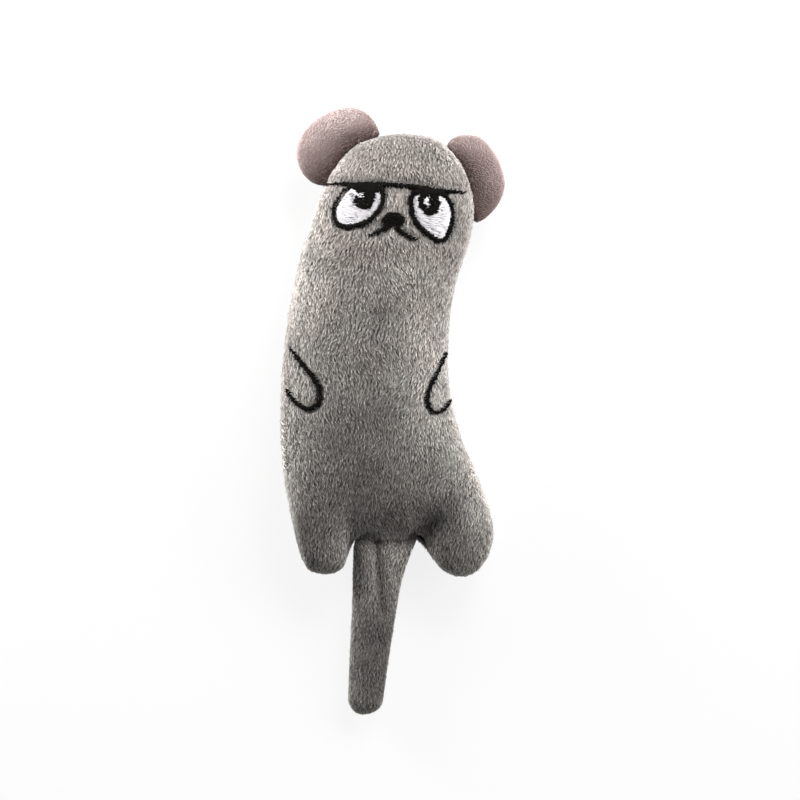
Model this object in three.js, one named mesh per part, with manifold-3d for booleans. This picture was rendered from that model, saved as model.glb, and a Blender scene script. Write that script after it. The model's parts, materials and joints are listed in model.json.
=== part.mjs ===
// A stuffed catnip mouse that lies on its back: X to the viewer's right, Y to its crown, Z up out of its face.
// Two plush panels meet in a seam round the outline, over fibre wads that hold a sachet of dried catnip.
// The ears and the tail are stuffed pieces of their own, caught in that seam, and the face is embroidered.
// Sizes are in millimetres. Pieces are placed about the seam plane, and the whole is then stood on Z = 0.
import * as THREE from "three";
import { mergeVertices } from "three/addons/utils/BufferGeometryUtils.js";
import Module from "manifold-3d";

const wasm = await Module();
wasm.setup();

// Cloth, thread and clearances
const PLUSH = 2.2; // body panel, backing and pile together
const EAR_PLUSH = 1.5;
const TAIL_PLUSH = 1.5;
const SACHET_CLOTH = 0.7;
const GAP = 0.3; // between pieces that lie against each other
const REST_CUT = 0.5; // how far the back is pressed flat where it lies
const THREAD_SINK = 0.2; // embroidery lies this far below the tips of the pile
const THREAD_DEPTH = 0.9;

// Body: each station gives its place along Y, or its rise from the crotch or drop from the crown,
// its left and right edge in the seam plane, its height above the seam and its depth below
const BACK_DEPTH = 11;
const FRONT_POWER = 0.95; // a section's roundness: 1 is an ellipse, and less is squarer
const BACK_POWER = 0.8; // the back spreads where it lies
const CROTCH = { x: -2.2, y: -33 };
const SEAT = { rise: 0.9, left: -9.5, right: 5.2, height: 2.6, depth: 5.5 };
const RUMP = { rise: 4.2, left: -18, right: 13.5, height: 5.6, depth: 9.6 };
const HIPS = { rise: 12, left: -25.6, right: 21.4, height: 9.8 };
const LAP = { y: -11.6, left: -28, right: 20, height: 12.8 };
const BELLY = { y: -1, left: -28.4, right: 16, height: 14 };
const WAIST = { y: 14.4, left: -27.5, right: 14.5, height: 14 };
const CHEST = { y: 28, left: -25.7, right: 15.4, height: 13 };
const NECK = { y: 40, left: -22.9, right: 18.8, height: 12.4 };
const CHEEKS = { y: 51, left: -19.3, right: 21.1, height: 12 };
const TEMPLES = { drop: 11, left: -16.1, right: 19.2, height: 11.6, depth: 10.4 };
const FOREHEAD = { drop: 5.2, left: -12.6, right: 15.8, height: 9.8, depth: 9 };
const SCALP = { drop: 1.5, left: -6, right: 10, height: 6, depth: 5.6 };
const CROWN = { x: 2, y: 69.5 };

// Legs, from the toes up into the body
const LEFT_TOES = { x: -17, y: -40.9 };
const LEFT_SOLE = { rise: 1.2, left: -21.8, right: -12.5, height: 3.4, depth: 5 };
const LEFT_FOOT = { rise: 4, left: -23.1, right: -11.6, height: 5.4, depth: 8 };
const LEFT_KNEE = { y: -32.5, left: -24.4, right: -9.8, height: 6.4, depth: 9.6 };
const LEFT_THIGH = { y: -27, left: -25.7, right: -8, height: 7.5, depth: 10.2 };
const LEFT_HIP = { y: -20, left: -26.6, right: -8, height: 8.4, depth: 10.2 };
const LEFT_LEG_TOP = { y: -13, left: -24, right: -11, height: 7, depth: 7 };
const LEFT_LEG_END = { x: -18, y: -10 };
const RIGHT_TOES = { x: 17.2, y: -41.8 };
const RIGHT_SOLE = { rise: 1.6, left: 12.4, right: 21.7, height: 3.6, depth: 5.4 };
const RIGHT_FOOT = { rise: 5, left: 10.2, right: 23.2, height: 5.8, depth: 8.6 };
const RIGHT_KNEE = { y: -32.6, left: 6.8, right: 24.9, height: 6.8, depth: 9.8 };
const RIGHT_THIGH = { y: -28, left: 5, right: 25.5, height: 8, depth: 10.2 };
const RIGHT_HIP = { y: -21, left: 5.5, right: 23.6, height: 9.1, depth: 10.2 };
const RIGHT_LEG_TOP = { y: -14, left: 8, right: 18.5, height: 7, depth: 7 };
const RIGHT_LEG_END = { x: 13, y: -11 };

// Tail: how far it leans to the left over its length, half its width from root to tip, and half its thickness
const TAIL_LENGTH = 42.6;
const TAIL_LEAN = 4.7;
const TAIL_HALF_WIDTH = { root: 7.2, middle: 5.5, end: 4.1, tip: 2.3 };
const TAIL_HALF_THICK = 4;
const TAIL_ROOT_HALF_THICK = 1.9;
const TAIL_LIFT = [-50, 85]; // degrees, up is positive
const TAIL_SWAY = [-8, 22]; // degrees, to the viewer's right is positive
const TACK_RADIUS = 0.5; // the row of back-stitches that the tail turns on
const TACK_LENGTH = 9;

// Ears: the middle, its drop from the crown, and the slope of the sewn edge in degrees from X
const LEFT_EAR = { x: -13.5, drop: 3.9, radius: 10.4, slope: 41.5 };
const RIGHT_EAR = { x: 17.75, drop: 11.6, radius: 10.6, slope: -70.5 };
const EAR_THICK = 7;
const EAR_FLOP = 45; // degrees each way

// Sachet of dried catnip in the belly
const SACHET = { x: -6, y: 6, width: 24, length: 32, thick: 8 };

// Closing seam, sewn by hand on the left side: where it starts, and how far it reaches round the seam
const CLOSING_THREAD = 0.5; // diameter
const CLOSING_TOP_Y = -3;
const CLOSING_PITCH = 2;
const CLOSING_STITCHES = 6;
const CLOSING_FRONT = 22; // degrees round the section from the seam
const CLOSING_BACK = 8;

// Embroidery, in the seam plane: the face's shapes lie about the middle of the head at the cheeks.
// A line has its path and its widths from start to end. A closed shape has the points of its rim, anticlockwise.
const BROW_PATH = [
  [-15.4, 5.1], [-12.7, 5.4], [-8, 5.4], [-3, 5.3], [2.5, 5], [8.2, 4.3], [13.2, 3.7], [17.8, 3.3],
];
const BROW_WIDTHS = [0.6, 1.5, 1.7, 1.6, 1.6, 1.8, 1.6, 0.6];
const LEFT_EYE = [
  [-12.6, 4.8], [-14, 2], [-14.9, -1.2], [-14.1, -3.7], [-11.6, -5.3],
  [-8.9, -5.3], [-5, -3.8], [-2.7, -1.2], [-1.6, 2.2], [-2.2, 4.9],
];
const LEFT_WHITE = [
  [-11.4, 3.4], [-12.8, 1.4], [-13.6, -1.1], [-13, -3.1], [-11, -4.2],
  [-9, -4.1], [-5.8, -2.6], [-4, -0.6], [-3, 2.1], [-3.4, 3.6],
];
const LEFT_PUPIL = [[-8.6, 3.6], [-9.4, 1.9], [-8.5, 0.1], [-6.6, -0.6], [-4.9, 0.4], [-4.4, 2.4], [-5, 3.7]];
const LEFT_GLINT = [[-7.4, 3], [-8.2, 2.5], [-7.9, 1.6], [-7, 1.5], [-6.5, 2.2]];
const RIGHT_EYE = [
  [5.2, 3.9], [4.3, 2.2], [4.6, -0.4], [5.6, -3.4], [8, -6.9], [11, -9.1],
  [13.2, -8.7], [15, -5.6], [15.5, -0.9], [14.3, 2], [12.4, 3.5],
];
const RIGHT_WHITE = [
  [6.2, 2.4], [5.8, -0.3], [6.8, -3.1], [9, -6.2], [11.3, -7.9],
  [12.8, -7.3], [14, -4.8], [14.3, -1], [13.2, 1.5], [11.5, 2.6],
];
const RIGHT_PUPIL = [
  [8.3, 2.5], [7.2, 1.4], [7.1, -0.3], [8.1, -1.8], [9.8, -2.2], [11.4, -1.2], [11.8, 0.9], [11, 2.4],
];
const RIGHT_GLINT = [[8.9, 1.9], [8.2, 1.2], [8.3, 0.2], [9.2, 0.1], [9.6, 1.1]];
const NOSE = [
  [-1.2, -1.6], [-2.4, -2.3], [-2.1, -3.7], [-1.1, -4.9], [0.3, -5.5],
  [1.8, -4.8], [3, -3.4], [2.5, -2.2], [0.8, -1.6],
];
const MOUTH_LEFT_PATH = [[-0.6, -5.2], [-3, -6.4], [-5.6, -7.2]];
const MOUTH_LEFT_WIDTHS = [1, 1, 0.6];
const MOUTH_RIGHT_PATH = [[1.2, -5.2], [2.7, -7.1], [4.7, -8.2], [6.6, -8.6]];
const MOUTH_RIGHT_WIDTHS = [1.1, 1.2, 1.1, 0.6];
const LEFT_ARM_PATH = [
  [-25.3, 15.6], [-22.3, 11.6], [-19.6, 8.2], [-18, 4.8], [-18.5, 1.6], [-21.1, 0.4], [-24.2, 2.5], [-26.2, 5],
];
const LEFT_ARM_WIDTHS = [0.6, 1.5, 1.8, 1.8, 1.8, 1.7, 1.4, 0.6];
const RIGHT_ARM_PATH = [[12.5, 13.8], [11, 9.4], [9.1, 5.1], [8.8, 1.6], [10.6, -0.5], [12.3, 0.1], [13.4, 2.2]];
const RIGHT_ARM_WIDTHS = [0.6, 1.2, 1.3, 1.3, 1.2, 1, 0.6];

const EVER = 300; // longer than the whole toy

const fromCrotch = ({ rise, ...rest }) => ({ y: CROTCH.y + rise, depth: BACK_DEPTH, ...rest });
const fromCrown = ({ drop, ...rest }) => ({ y: CROWN.y - drop, ...rest });
const onBack = (station) => ({ depth: BACK_DEPTH, ...station });
const closedAt = ({ x, y }) => ({ y, left: x, right: x, height: 0, depth: 0 });
const fromToes = (toes, { rise, ...rest }) => ({ y: toes.y + rise, ...rest });
const BODY = [
  closedAt(CROTCH),
  ...[SEAT, RUMP, HIPS].map(fromCrotch),
  ...[LAP, BELLY, WAIST, CHEST, NECK, CHEEKS].map(onBack),
  ...[TEMPLES, FOREHEAD, SCALP].map(fromCrown),
  closedAt(CROWN),
];
const LEFT_LEG = [
  closedAt(LEFT_TOES),
  fromToes(LEFT_TOES, LEFT_SOLE),
  fromToes(LEFT_TOES, LEFT_FOOT),
  ...[LEFT_KNEE, LEFT_THIGH, LEFT_HIP, LEFT_LEG_TOP],
  closedAt(LEFT_LEG_END),
];
const RIGHT_LEG = [
  closedAt(RIGHT_TOES),
  fromToes(RIGHT_TOES, RIGHT_SOLE),
  fromToes(RIGHT_TOES, RIGHT_FOOT),
  ...[RIGHT_KNEE, RIGHT_THIGH, RIGHT_HIP, RIGHT_LEG_TOP],
  closedAt(RIGHT_LEG_END),
];

// The tail's stations: its share of the length, then shares of its lean and of its drop to the floor
const TAIL_DROP = BACK_DEPTH - REST_CUT - TAIL_HALF_THICK - GAP;
const { root: ROOT, middle: MIDDLE, end: END, tip: TIP } = TAIL_HALF_WIDTH;
const TAIL = [
  { share: 0, lean: 0, wide: ROOT, thick: TAIL_ROOT_HALF_THICK, drop: 0 },
  { share: 0.1, lean: 0.17, wide: ROOT, thick: 0.65 * TAIL_HALF_THICK, drop: 0.22 },
  { share: 0.22, lean: 0.34, wide: (ROOT + MIDDLE) / 2, thick: 0.86 * TAIL_HALF_THICK, drop: 0.62 },
  { share: 0.4, lean: 0.51, wide: MIDDLE, thick: TAIL_HALF_THICK, drop: 1 },
  { share: 0.6, lean: 0.68, wide: MIDDLE, thick: TAIL_HALF_THICK, drop: 1 },
  { share: 0.8, lean: 0.82, wide: (MIDDLE + END) / 2, thick: TAIL_HALF_THICK, drop: 1 },
  { share: 0.93, lean: 0.92, wide: END, thick: 0.88 * TAIL_HALF_THICK, drop: 1 },
  { share: 0.985, lean: 0.98, wide: TIP, thick: 0.5 * TAIL_HALF_THICK, drop: 1 },
  { share: 1, lean: 1, wide: 0, thick: 0, drop: 1 },
];

// A closed mesh as a solid that can be joined and cut.
function solid(geometry) {
  const bare = geometry.index ? geometry.toNonIndexed() : geometry.clone();
  bare.deleteAttribute("normal");
  bare.deleteAttribute("uv");
  const merged = mergeVertices(bare, 1e-4);
  const vertProperties = merged.attributes.position.array;
  const triVerts = new Uint32Array(merged.index.array);
  return new wasm.Manifold(new wasm.Mesh({ numProp: 3, vertProperties, triVerts }));
}

// A solid as a three.js geometry.
function geometryOf(made) {
  const { numProp, vertProperties, triVerts } = made.getMesh();
  const count = vertProperties.length / numProp;
  const places = new Float32Array(count * 3);
  for (let i = 0; i < count; i++) {
    places.set(vertProperties.subarray(i * numProp, i * numProp + 3), i * 3);
  }
  const geometry = new THREE.BufferGeometry();
  geometry.setAttribute("position", new THREE.BufferAttribute(places, 3));
  geometry.setIndex(new THREE.BufferAttribute(triVerts, 1));
  geometry.computeVertexNormals();
  return geometry;
}

// The largest of a solid's separate bodies, where a cut leaves crumbs.
function largest(made) {
  const size = (one) => Math.abs(one.volume());
  return made.decompose().reduce((best, one) => (size(one) > size(best) ? one : best));
}

// One value of a row of stations at u, from 0 to 1, on a smooth curve through them.
function along(stations, key, u) {
  const last = stations.length - 1;
  const i = Math.min(Math.floor(u * last), last - 1);
  const t = u * last - i;
  const read = (k) => stations[THREE.MathUtils.clamp(k, 0, last)][key];
  const slopeIn = (read(i + 1) - read(i - 1)) / 2;
  const slopeOut = (read(i + 2) - read(i)) / 2;
  const rise = 3 * t ** 2 - 2 * t ** 3;
  const ease = (t ** 3 - 2 * t ** 2 + t) * slopeIn + (t ** 3 - t ** 2) * slopeOut;
  return THREE.MathUtils.lerp(read(i), read(i + 1), rise) + ease;
}

// Rings of points, the first and last of them single points, joined into one closed skin.
function skin(rings) {
  const starts = [];
  rings.reduce((sum, ring) => {
    starts.push(sum);
    return sum + ring.length;
  }, 0);
  const faces = [];
  for (let k = 0; k + 1 < rings.length; k++) {
    const sides = Math.max(rings[k].length, rings[k + 1].length);
    const at = (ring, i) => starts[ring] + (i % rings[ring].length);
    for (let i = 0; i < sides; i++) {
      if (rings[k].length > 1) faces.push(at(k, i), at(k, i + 1), at(k + 1, i + 1));
      if (rings[k + 1].length > 1) faces.push(at(k, i), at(k + 1, i + 1), at(k + 1, i));
    }
  }
  const geometry = new THREE.BufferGeometry().setFromPoints(rings.flat());
  geometry.setIndex(faces);
  return solid(geometry);
}

// A stuffed form's section at u, with the form grown by grow on every side.
function section(stations, u, grow) {
  const low = stations[0].y;
  const high = stations[stations.length - 1].y;
  const middle = (low + high) / 2;
  const left = along(stations, "left", u) - grow;
  const right = along(stations, "right", u) + grow;
  return {
    x: (left + right) / 2,
    y: middle + (along(stations, "y", u) - middle) * (1 + (2 * grow) / (high - low)),
    half: (right - left) / 2,
    height: along(stations, "height", u) + grow,
    depth: along(stations, "depth", u) + grow,
  };
}

// A section's point at an angle from its right edge, counted towards the front.
function onSection({ x, y, half, height, depth }, angle) {
  const power = Math.sin(angle) > 0 ? FRONT_POWER : BACK_POWER;
  const bent = (value) => Math.sign(value) * Math.abs(value) ** power;
  const reach = Math.sin(angle) > 0 ? height : depth;
  return new THREE.Vector3(x + half * bent(Math.cos(angle)), y, reach * bent(Math.sin(angle)));
}

// A stuffed form through its stations, grown by grow on every side.
function stuffed(stations, grow, ringCount, sides) {
  const rings = [];
  for (let k = 0; k <= ringCount; k++) {
    const s = section(stations, k / ringCount, grow);
    const angles = Array.from({ length: sides }, (_, i) => (-2 * Math.PI * i) / sides);
    const closed = k === 0 || k === ringCount;
    if (closed) rings.push([new THREE.Vector3(s.x, s.y, 0)]);
    else if (Math.min(s.half, s.height, s.depth) > GAP) rings.push(angles.map((angle) => onSection(s, angle)));
  }
  return skin(rings);
}

// The outside has finer facets than the inside, which nobody sees.
const bodyForm = (grow) => stuffed(BODY, grow, 26, 20);
const legForm = (stations, grow) => stuffed(stations, grow, 11, 14);
const mouseForm = (grow) => bodyForm(grow).add(legForm(LEFT_LEG, grow)).add(legForm(RIGHT_LEG, grow));
const bodyHollow = (grow) => stuffed(BODY, grow, 18, 14);
const legHollow = (stations, grow) => stuffed(stations, grow, 8, 10);

// A flat round cushion, such as an ear or the sachet.
function cushion(halfWidth, halfLength, halfThick, x, y) {
  const ball = new THREE.SphereGeometry(1, 20, 8).rotateX(Math.PI / 2);
  return solid(ball.scale(halfWidth, halfLength, halfThick).translate(x, y, 0));
}

// Everything on one side of a level, along Z or Y.
function block(x, y, z) {
  return solid(new THREE.BoxGeometry(EVER, EVER, EVER).translate(x, y, z));
}
const above = (z) => block(0, 0, z + EVER / 2);
const below = (z) => block(0, 0, z - EVER / 2);
const headward = (y) => block(0, y + EVER / 2, 0);
const footward = (y) => block(0, y - EVER / 2, 0);

// A solid turned about a line through a point.
function turned(made, point, axis, degrees) {
  const spin = new THREE.Matrix4().makeRotationAxis(axis, THREE.MathUtils.degToRad(degrees));
  const there = new THREE.Matrix4().makeTranslation(point);
  const back = new THREE.Matrix4().makeTranslation(point.clone().negate());
  return made.transform(there.multiply(spin).multiply(back).elements);
}

// Even steps over a range, both ends among them.
function steps([low, high], count) {
  return Array.from({ length: count + 1 }, (_, i) => low + ((high - low) * i) / count);
}

const mouse = new THREE.Group();

function finish(color, roughness) {
  return new THREE.MeshStandardMaterial({ color, roughness, metalness: 0 });
}
const greyPlush = finish(0x8d8783, 0.95);
const pinkPlush = finish(0xa68f8d, 0.95);
const fibre = finish(0xf0eee8, 1);
const muslin = finish(0xd9d2bd, 0.9);
const herb = finish(0x6d7442, 1);
const blackThread = finish(0x1c1a19, 0.6);
const whiteThread = finish(0xf2f0f1, 0.6);
const greyThread = finish(0x6b6764, 0.6);
const paleThread = finish(0xdedad5, 0.6);

function addPiece(name, made, material) {
  const mesh = new THREE.Mesh(geometryOf(made), material);
  mesh.name = name;
  mouse.add(mesh);
}

// A closed smooth shape through the points of its rim, about the middle of the face.
function patch(points) {
  const places = points.map(([x, y]) => new THREE.Vector3(x, CHEEKS.y + y, 0));
  const curve = new THREE.CatmullRomCurve3(places, true);
  return (grow) => {
    const rim = steps([0, 1], points.length * 2).slice(0, -1);
    return new THREE.Shape(
      rim.map((u) => {
        const at = curve.getPoint(u);
        const way = curve.getTangent(u);
        return new THREE.Vector2(at.x + way.y * grow, at.y - way.x * grow);
      }),
    );
  };
}

// A line of satin stitch on a smooth path, with its width read from its start to its end.
function stroke(points, widths) {
  const path = new THREE.SplineCurve(points.map(([x, y]) => new THREE.Vector2(x, y)));
  const stations = widths.map((width) => ({ width }));
  return (grow) => {
    const [one, other] = [[], []];
    for (const u of steps([0, 1], points.length * 2)) {
      const way = path.getTangent(u);
      const ending = u === 0 ? -grow : u === 1 ? grow : 0;
      const at = path.getPoint(u).addScaledVector(way, ending);
      const half = along(stations, "width", u) / 2 + grow;
      one.push(new THREE.Vector2(at.x + way.y * half, at.y - way.x * half));
      other.unshift(new THREE.Vector2(at.x - way.y * half, at.y + way.x * half));
    }
    return new THREE.Shape([...one, ...other]);
  };
}

// A shape, grown by grow, stood up as a block through the front of the toy.
function standing(shape, grow = 0) {
  const depth = EVER / 2;
  return solid(new THREE.ExtrudeGeometry(shape(grow), { depth, bevelEnabled: false }).translate(0, 0, GAP));
}
const overFace = (points) => points.map(([x, y]) => [x, CHEEKS.y + y]);

const brow = stroke(overFace(BROW_PATH), BROW_WIDTHS);
const leftEye = patch(LEFT_EYE);
const leftWhite = patch(LEFT_WHITE);
const leftPupil = patch(LEFT_PUPIL);
const leftGlint = patch(LEFT_GLINT);
const rightEye = patch(RIGHT_EYE);
const rightWhite = patch(RIGHT_WHITE);
const rightPupil = patch(RIGHT_PUPIL);
const rightGlint = patch(RIGHT_GLINT);
const nose = patch(NOSE);
const mouthLeft = stroke(overFace(MOUTH_LEFT_PATH), MOUTH_LEFT_WIDTHS);
const mouthRight = stroke(overFace(MOUTH_RIGHT_PATH), MOUTH_RIGHT_WIDTHS);
const leftArm = stroke(LEFT_ARM_PATH, LEFT_ARM_WIDTHS);
const rightArm = stroke(RIGHT_ARM_PATH, RIGHT_ARM_WIDTHS);

const threadTop = mouseForm(-THREAD_SINK);
const threadFoot = mouseForm(-THREAD_SINK - THREAD_DEPTH);
const threadBed = mouseForm(-THREAD_SINK - THREAD_DEPTH - GAP);

// Embroidery in its layer just under the tips of the pile, kept clear of the shapes sewn over it.
function addEmbroidery(name, shape, over, material) {
  const layer = standing(shape).intersect(threadTop).subtract(threadFoot);
  addPiece(name, largest(over.reduce((left, one) => left.subtract(standing(one, GAP)), layer)), material);
}

// Plush panels, with a bed cut in the front one under every embroidered shape
const inside = bodyHollow(-PLUSH).add(legHollow(LEFT_LEG, -PLUSH)).add(legHollow(RIGHT_LEG, -PLUSH));
const pocketed = mouseForm(0).intersect(above(-BACK_DEPTH + REST_CUT)).subtract(inside);
const beds = [brow, leftEye, rightEye, nose, mouthLeft, mouthRight, leftArm, rightArm];
const front = beds.reduce((panel, bed) => panel.subtract(standing(bed, GAP).subtract(threadBed)), pocketed);
addPiece("front_panel", front.intersect(above(GAP / 2)), greyPlush);
addPiece("back_panel", pocketed.intersect(below(-GAP / 2)), greyPlush);

addEmbroidery("brow_embroidery", brow, [], blackThread);
addEmbroidery("left_eye_outline", leftEye, [leftWhite, brow], blackThread);
addEmbroidery("left_eye_white", leftWhite, [leftPupil, brow], whiteThread);
addEmbroidery("left_pupil", leftPupil, [leftGlint, brow], blackThread);
addEmbroidery("left_eye_glint", leftGlint, [], whiteThread);
addEmbroidery("right_eye_outline", rightEye, [rightWhite, brow], blackThread);
addEmbroidery("right_eye_white", rightWhite, [rightPupil, brow], whiteThread);
addEmbroidery("right_pupil", rightPupil, [rightGlint, brow], blackThread);
addEmbroidery("right_eye_glint", rightGlint, [], whiteThread);
addEmbroidery("nose_embroidery", nose, [], blackThread);
addEmbroidery("mouth_left", mouthLeft, [nose], blackThread);
addEmbroidery("mouth_right", mouthRight, [nose], blackThread);
addEmbroidery("left_arm_embroidery", leftArm, [], blackThread);
addEmbroidery("right_arm_embroidery", rightArm, [], blackThread);

// Sachet of dried catnip, two cloths sewn at the rim, in a hollow between the belly wads
function sachet(grow) {
  return cushion(SACHET.width / 2 + grow, SACHET.length / 2 + grow, SACHET.thick / 2 + grow, SACHET.x, SACHET.y);
}
const sachetShell = sachet(0).subtract(sachet(-SACHET_CLOTH));
addPiece("sachet_front", sachetShell.intersect(above(GAP / 2)), muslin);
addPiece("sachet_back", sachetShell.intersect(below(-GAP / 2)), muslin);
addPiece("dried_catnip", sachet(-SACHET_CLOTH - GAP), herb);

// Fibre wads
const bodyWad = bodyHollow(-PLUSH - GAP);
const bellyWad = bodyWad.intersect(footward(NECK.y)).subtract(sachet(GAP));
addPiece("head_wad", bodyWad.intersect(headward(NECK.y + GAP)), fibre);
addPiece("belly_wad_front", bellyWad.intersect(above(GAP / 2)), fibre);
addPiece("belly_wad_back", bellyWad.intersect(below(-GAP / 2)), fibre);
addPiece("left_leg_wad", largest(legHollow(LEFT_LEG, -PLUSH - GAP).subtract(bodyHollow(-PLUSH))), fibre);
addPiece("right_leg_wad", largest(legHollow(RIGHT_LEG, -PLUSH - GAP).subtract(bodyHollow(-PLUSH))), fibre);

// Ears: two cloths over a pad, hinged on the line where the head's outline lies furthest out
function addEar(side, { x, drop, radius, slope }) {
  const y = CROWN.y - drop;
  const edge = THREE.MathUtils.degToRad(slope);
  const axis = new THREE.Vector3(Math.cos(edge), Math.sin(edge), 0);
  const outward = new THREE.Vector3(-axis.y, axis.x, 0);
  if (outward.dot(new THREE.Vector3(x, y - CHEEKS.y, 0)) < 0) outward.negate();
  const edges = steps([0.5, 1], 60).flatMap((u) => {
    const s = section(BODY, u, GAP);
    return [onSection(s, 0), onSection(s, Math.PI)];
  });
  const reach = Math.max(...edges.map((place) => place.dot(outward)));
  const centre = new THREE.Vector3(x, y, 0);
  const hinge = centre.clone().addScaledVector(outward, reach - centre.dot(outward));
  const head = bodyForm(GAP);
  const cleared = steps([-EAR_FLOP, EAR_FLOP], 6)
    .map((flop) => turned(head, hinge, axis, flop))
    .reduce((all, one) => all.add(one));
  const ear = (grow) => cushion(radius + grow, radius + grow, EAR_THICK / 2 + grow, x, y);
  const cloth = ear(0).subtract(ear(-EAR_PLUSH)).subtract(cleared);
  addPiece(`${side}_ear_front`, largest(cloth.intersect(above(GAP / 2))), pinkPlush);
  addPiece(`${side}_ear_back`, largest(cloth.intersect(below(-GAP / 2))), pinkPlush);
  addPiece(`${side}_ear_pad`, largest(ear(-EAR_PLUSH - GAP).subtract(cleared)), fibre);
}
addEar("left", LEFT_EAR);
addEar("right", RIGHT_EAR);

// Tail: a stuffed sleeve, open at its root, that turns on a row of back-stitches just below the crotch seam
const tailRoot = new THREE.Vector3(CROTCH.x, CROTCH.y - TAIL_ROOT_HALF_THICK - GAP, 0);
const liftAxis = new THREE.Vector3(-1, 0, 0);
const swayAxis = new THREE.Vector3(0, 0, 1);

// The tail with its sides and tip grown by grow.
function tailForm(grow) {
  const rings = [];
  const sides = 16;
  for (const u of steps([0, 1], 18)) {
    const share = along(TAIL, "share", u);
    const y = CROTCH.y - share * (TAIL_LENGTH + grow);
    const x = CROTCH.x - along(TAIL, "lean", u) * TAIL_LEAN;
    const middle = new THREE.Vector3(x, y, -along(TAIL, "drop", u) * TAIL_DROP);
    const wide = along(TAIL, "wide", u) + grow;
    const thick = along(TAIL, "thick", u) + grow;
    const place = (_, i) => {
      const angle = (2 * Math.PI * i) / sides;
      const offset = new THREE.Vector3(wide * Math.cos(angle), 0, thick * Math.sin(angle));
      return middle.clone().add(offset);
    };
    if (u === 0 || u === 1) rings.push([middle]);
    if (u < 1 && Math.min(wide, thick) > GAP) rings.push(Array.from({ length: sides }, place));
  }
  return skin(rings);
}

const hipward = headward(CROTCH.y - GAP);
const legs = stuffed(LEFT_LEG, 1.5 * GAP, 10, 10).add(stuffed(RIGHT_LEG, 1.5 * GAP, 10, 10));
const tailCleared = steps(TAIL_SWAY, 2)
  .map((sway) => turned(hipward.add(legs), tailRoot, swayAxis, -sway))
  .flatMap((swung) => steps(TAIL_LIFT, 4).map((lift) => turned(swung, tailRoot, liftAxis, -lift)))
  .reduce((all, one) => all.add(one));
const rod = (radius, length) =>
  solid(new THREE.CylinderGeometry(radius, radius, length, 10).rotateZ(Math.PI / 2).translate(...tailRoot));
const boreRadius = TACK_RADIUS + GAP;
const hollow = tailForm(-TAIL_PLUSH).intersect(footward(tailRoot.y));
const sleeve = tailForm(0).subtract(hollow).subtract(tailCleared);
addPiece("tail_tack", rod(TACK_RADIUS, TACK_LENGTH), greyThread);
addPiece("tail_sleeve", largest(sleeve.subtract(rod(boreRadius, EVER))), greyPlush);
addPiece("tail_wad", tailForm(-TAIL_PLUSH - GAP).intersect(footward(tailRoot.y - boreRadius)), fibre);

// Closing stitches: one thread that laces to and fro over the side seam, with a round turn at each end
function closingStitches() {
  const thread = CLOSING_THREAD / 2;
  const sections = steps([0.2, 0.6], 200).map((u) => section(BODY, u, GAP + thread));
  const sectionAt = (y) => sections.reduce((best, s) => (Math.abs(s.y - y) < Math.abs(best.y - y) ? s : best));
  const turn = CLOSING_PITCH / 4;
  const turnAngle = turn / BELLY.height;
  const front = THREE.MathUtils.degToRad(CLOSING_FRONT);
  const back = -THREE.MathUtils.degToRad(CLOSING_BACK);
  const points = [];
  for (let i = 0; i < 2 * CLOSING_STITCHES; i++) {
    const y = CLOSING_TOP_Y - 2 * turn * i;
    const [from, to] = i % 2 ? [front, back] : [back, front];
    const side = Math.sign(to - from);
    for (const share of [0, 0.33, 0.67, 1]) {
      points.push(onSection(sectionAt(y), Math.PI - THREE.MathUtils.lerp(from, to, share)));
    }
    for (const bend of [Math.PI / 3, (2 * Math.PI) / 3]) {
      const s = sectionAt(y - turn + turn * Math.cos(bend));
      points.push(onSection(s, Math.PI - to - side * turnAngle * Math.sin(bend)));
    }
  }
  const ring = new THREE.Shape().absarc(0, 0, thread, 0, 2 * Math.PI);
  const extrudePath = new THREE.CatmullRomCurve3(points);
  return solid(new THREE.ExtrudeGeometry(ring, { steps: points.length, curveSegments: 3, extrudePath }));
}
addPiece("closing_stitches", closingStitches(), paleThread);

// The whole is stood on Z = 0, with its middle over the origin
const box = new THREE.Box3().setFromObject(mouse);
const middle = box.getCenter(new THREE.Vector3());
mouse.position.set(-middle.x, -middle.y, -box.min.z);

export default mouse;
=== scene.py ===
"""A stuffed catnip mouse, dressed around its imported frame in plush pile, embroidery and stuffing.

Shapes are worked out in pattern millimetres: x to the viewer's right, y to the crown, z out of the face,
with z = 0 on the seam between the two panels. place() turns them into metres in the frame.
"""

import json
import math

import bpy
import numpy as np
from bpy.props import FloatProperty, FloatVectorProperty, IntProperty, PointerProperty
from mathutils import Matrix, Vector, geometry
from mathutils.bvhtree import BVHTree
from mathutils.kdtree import KDTree


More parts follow.
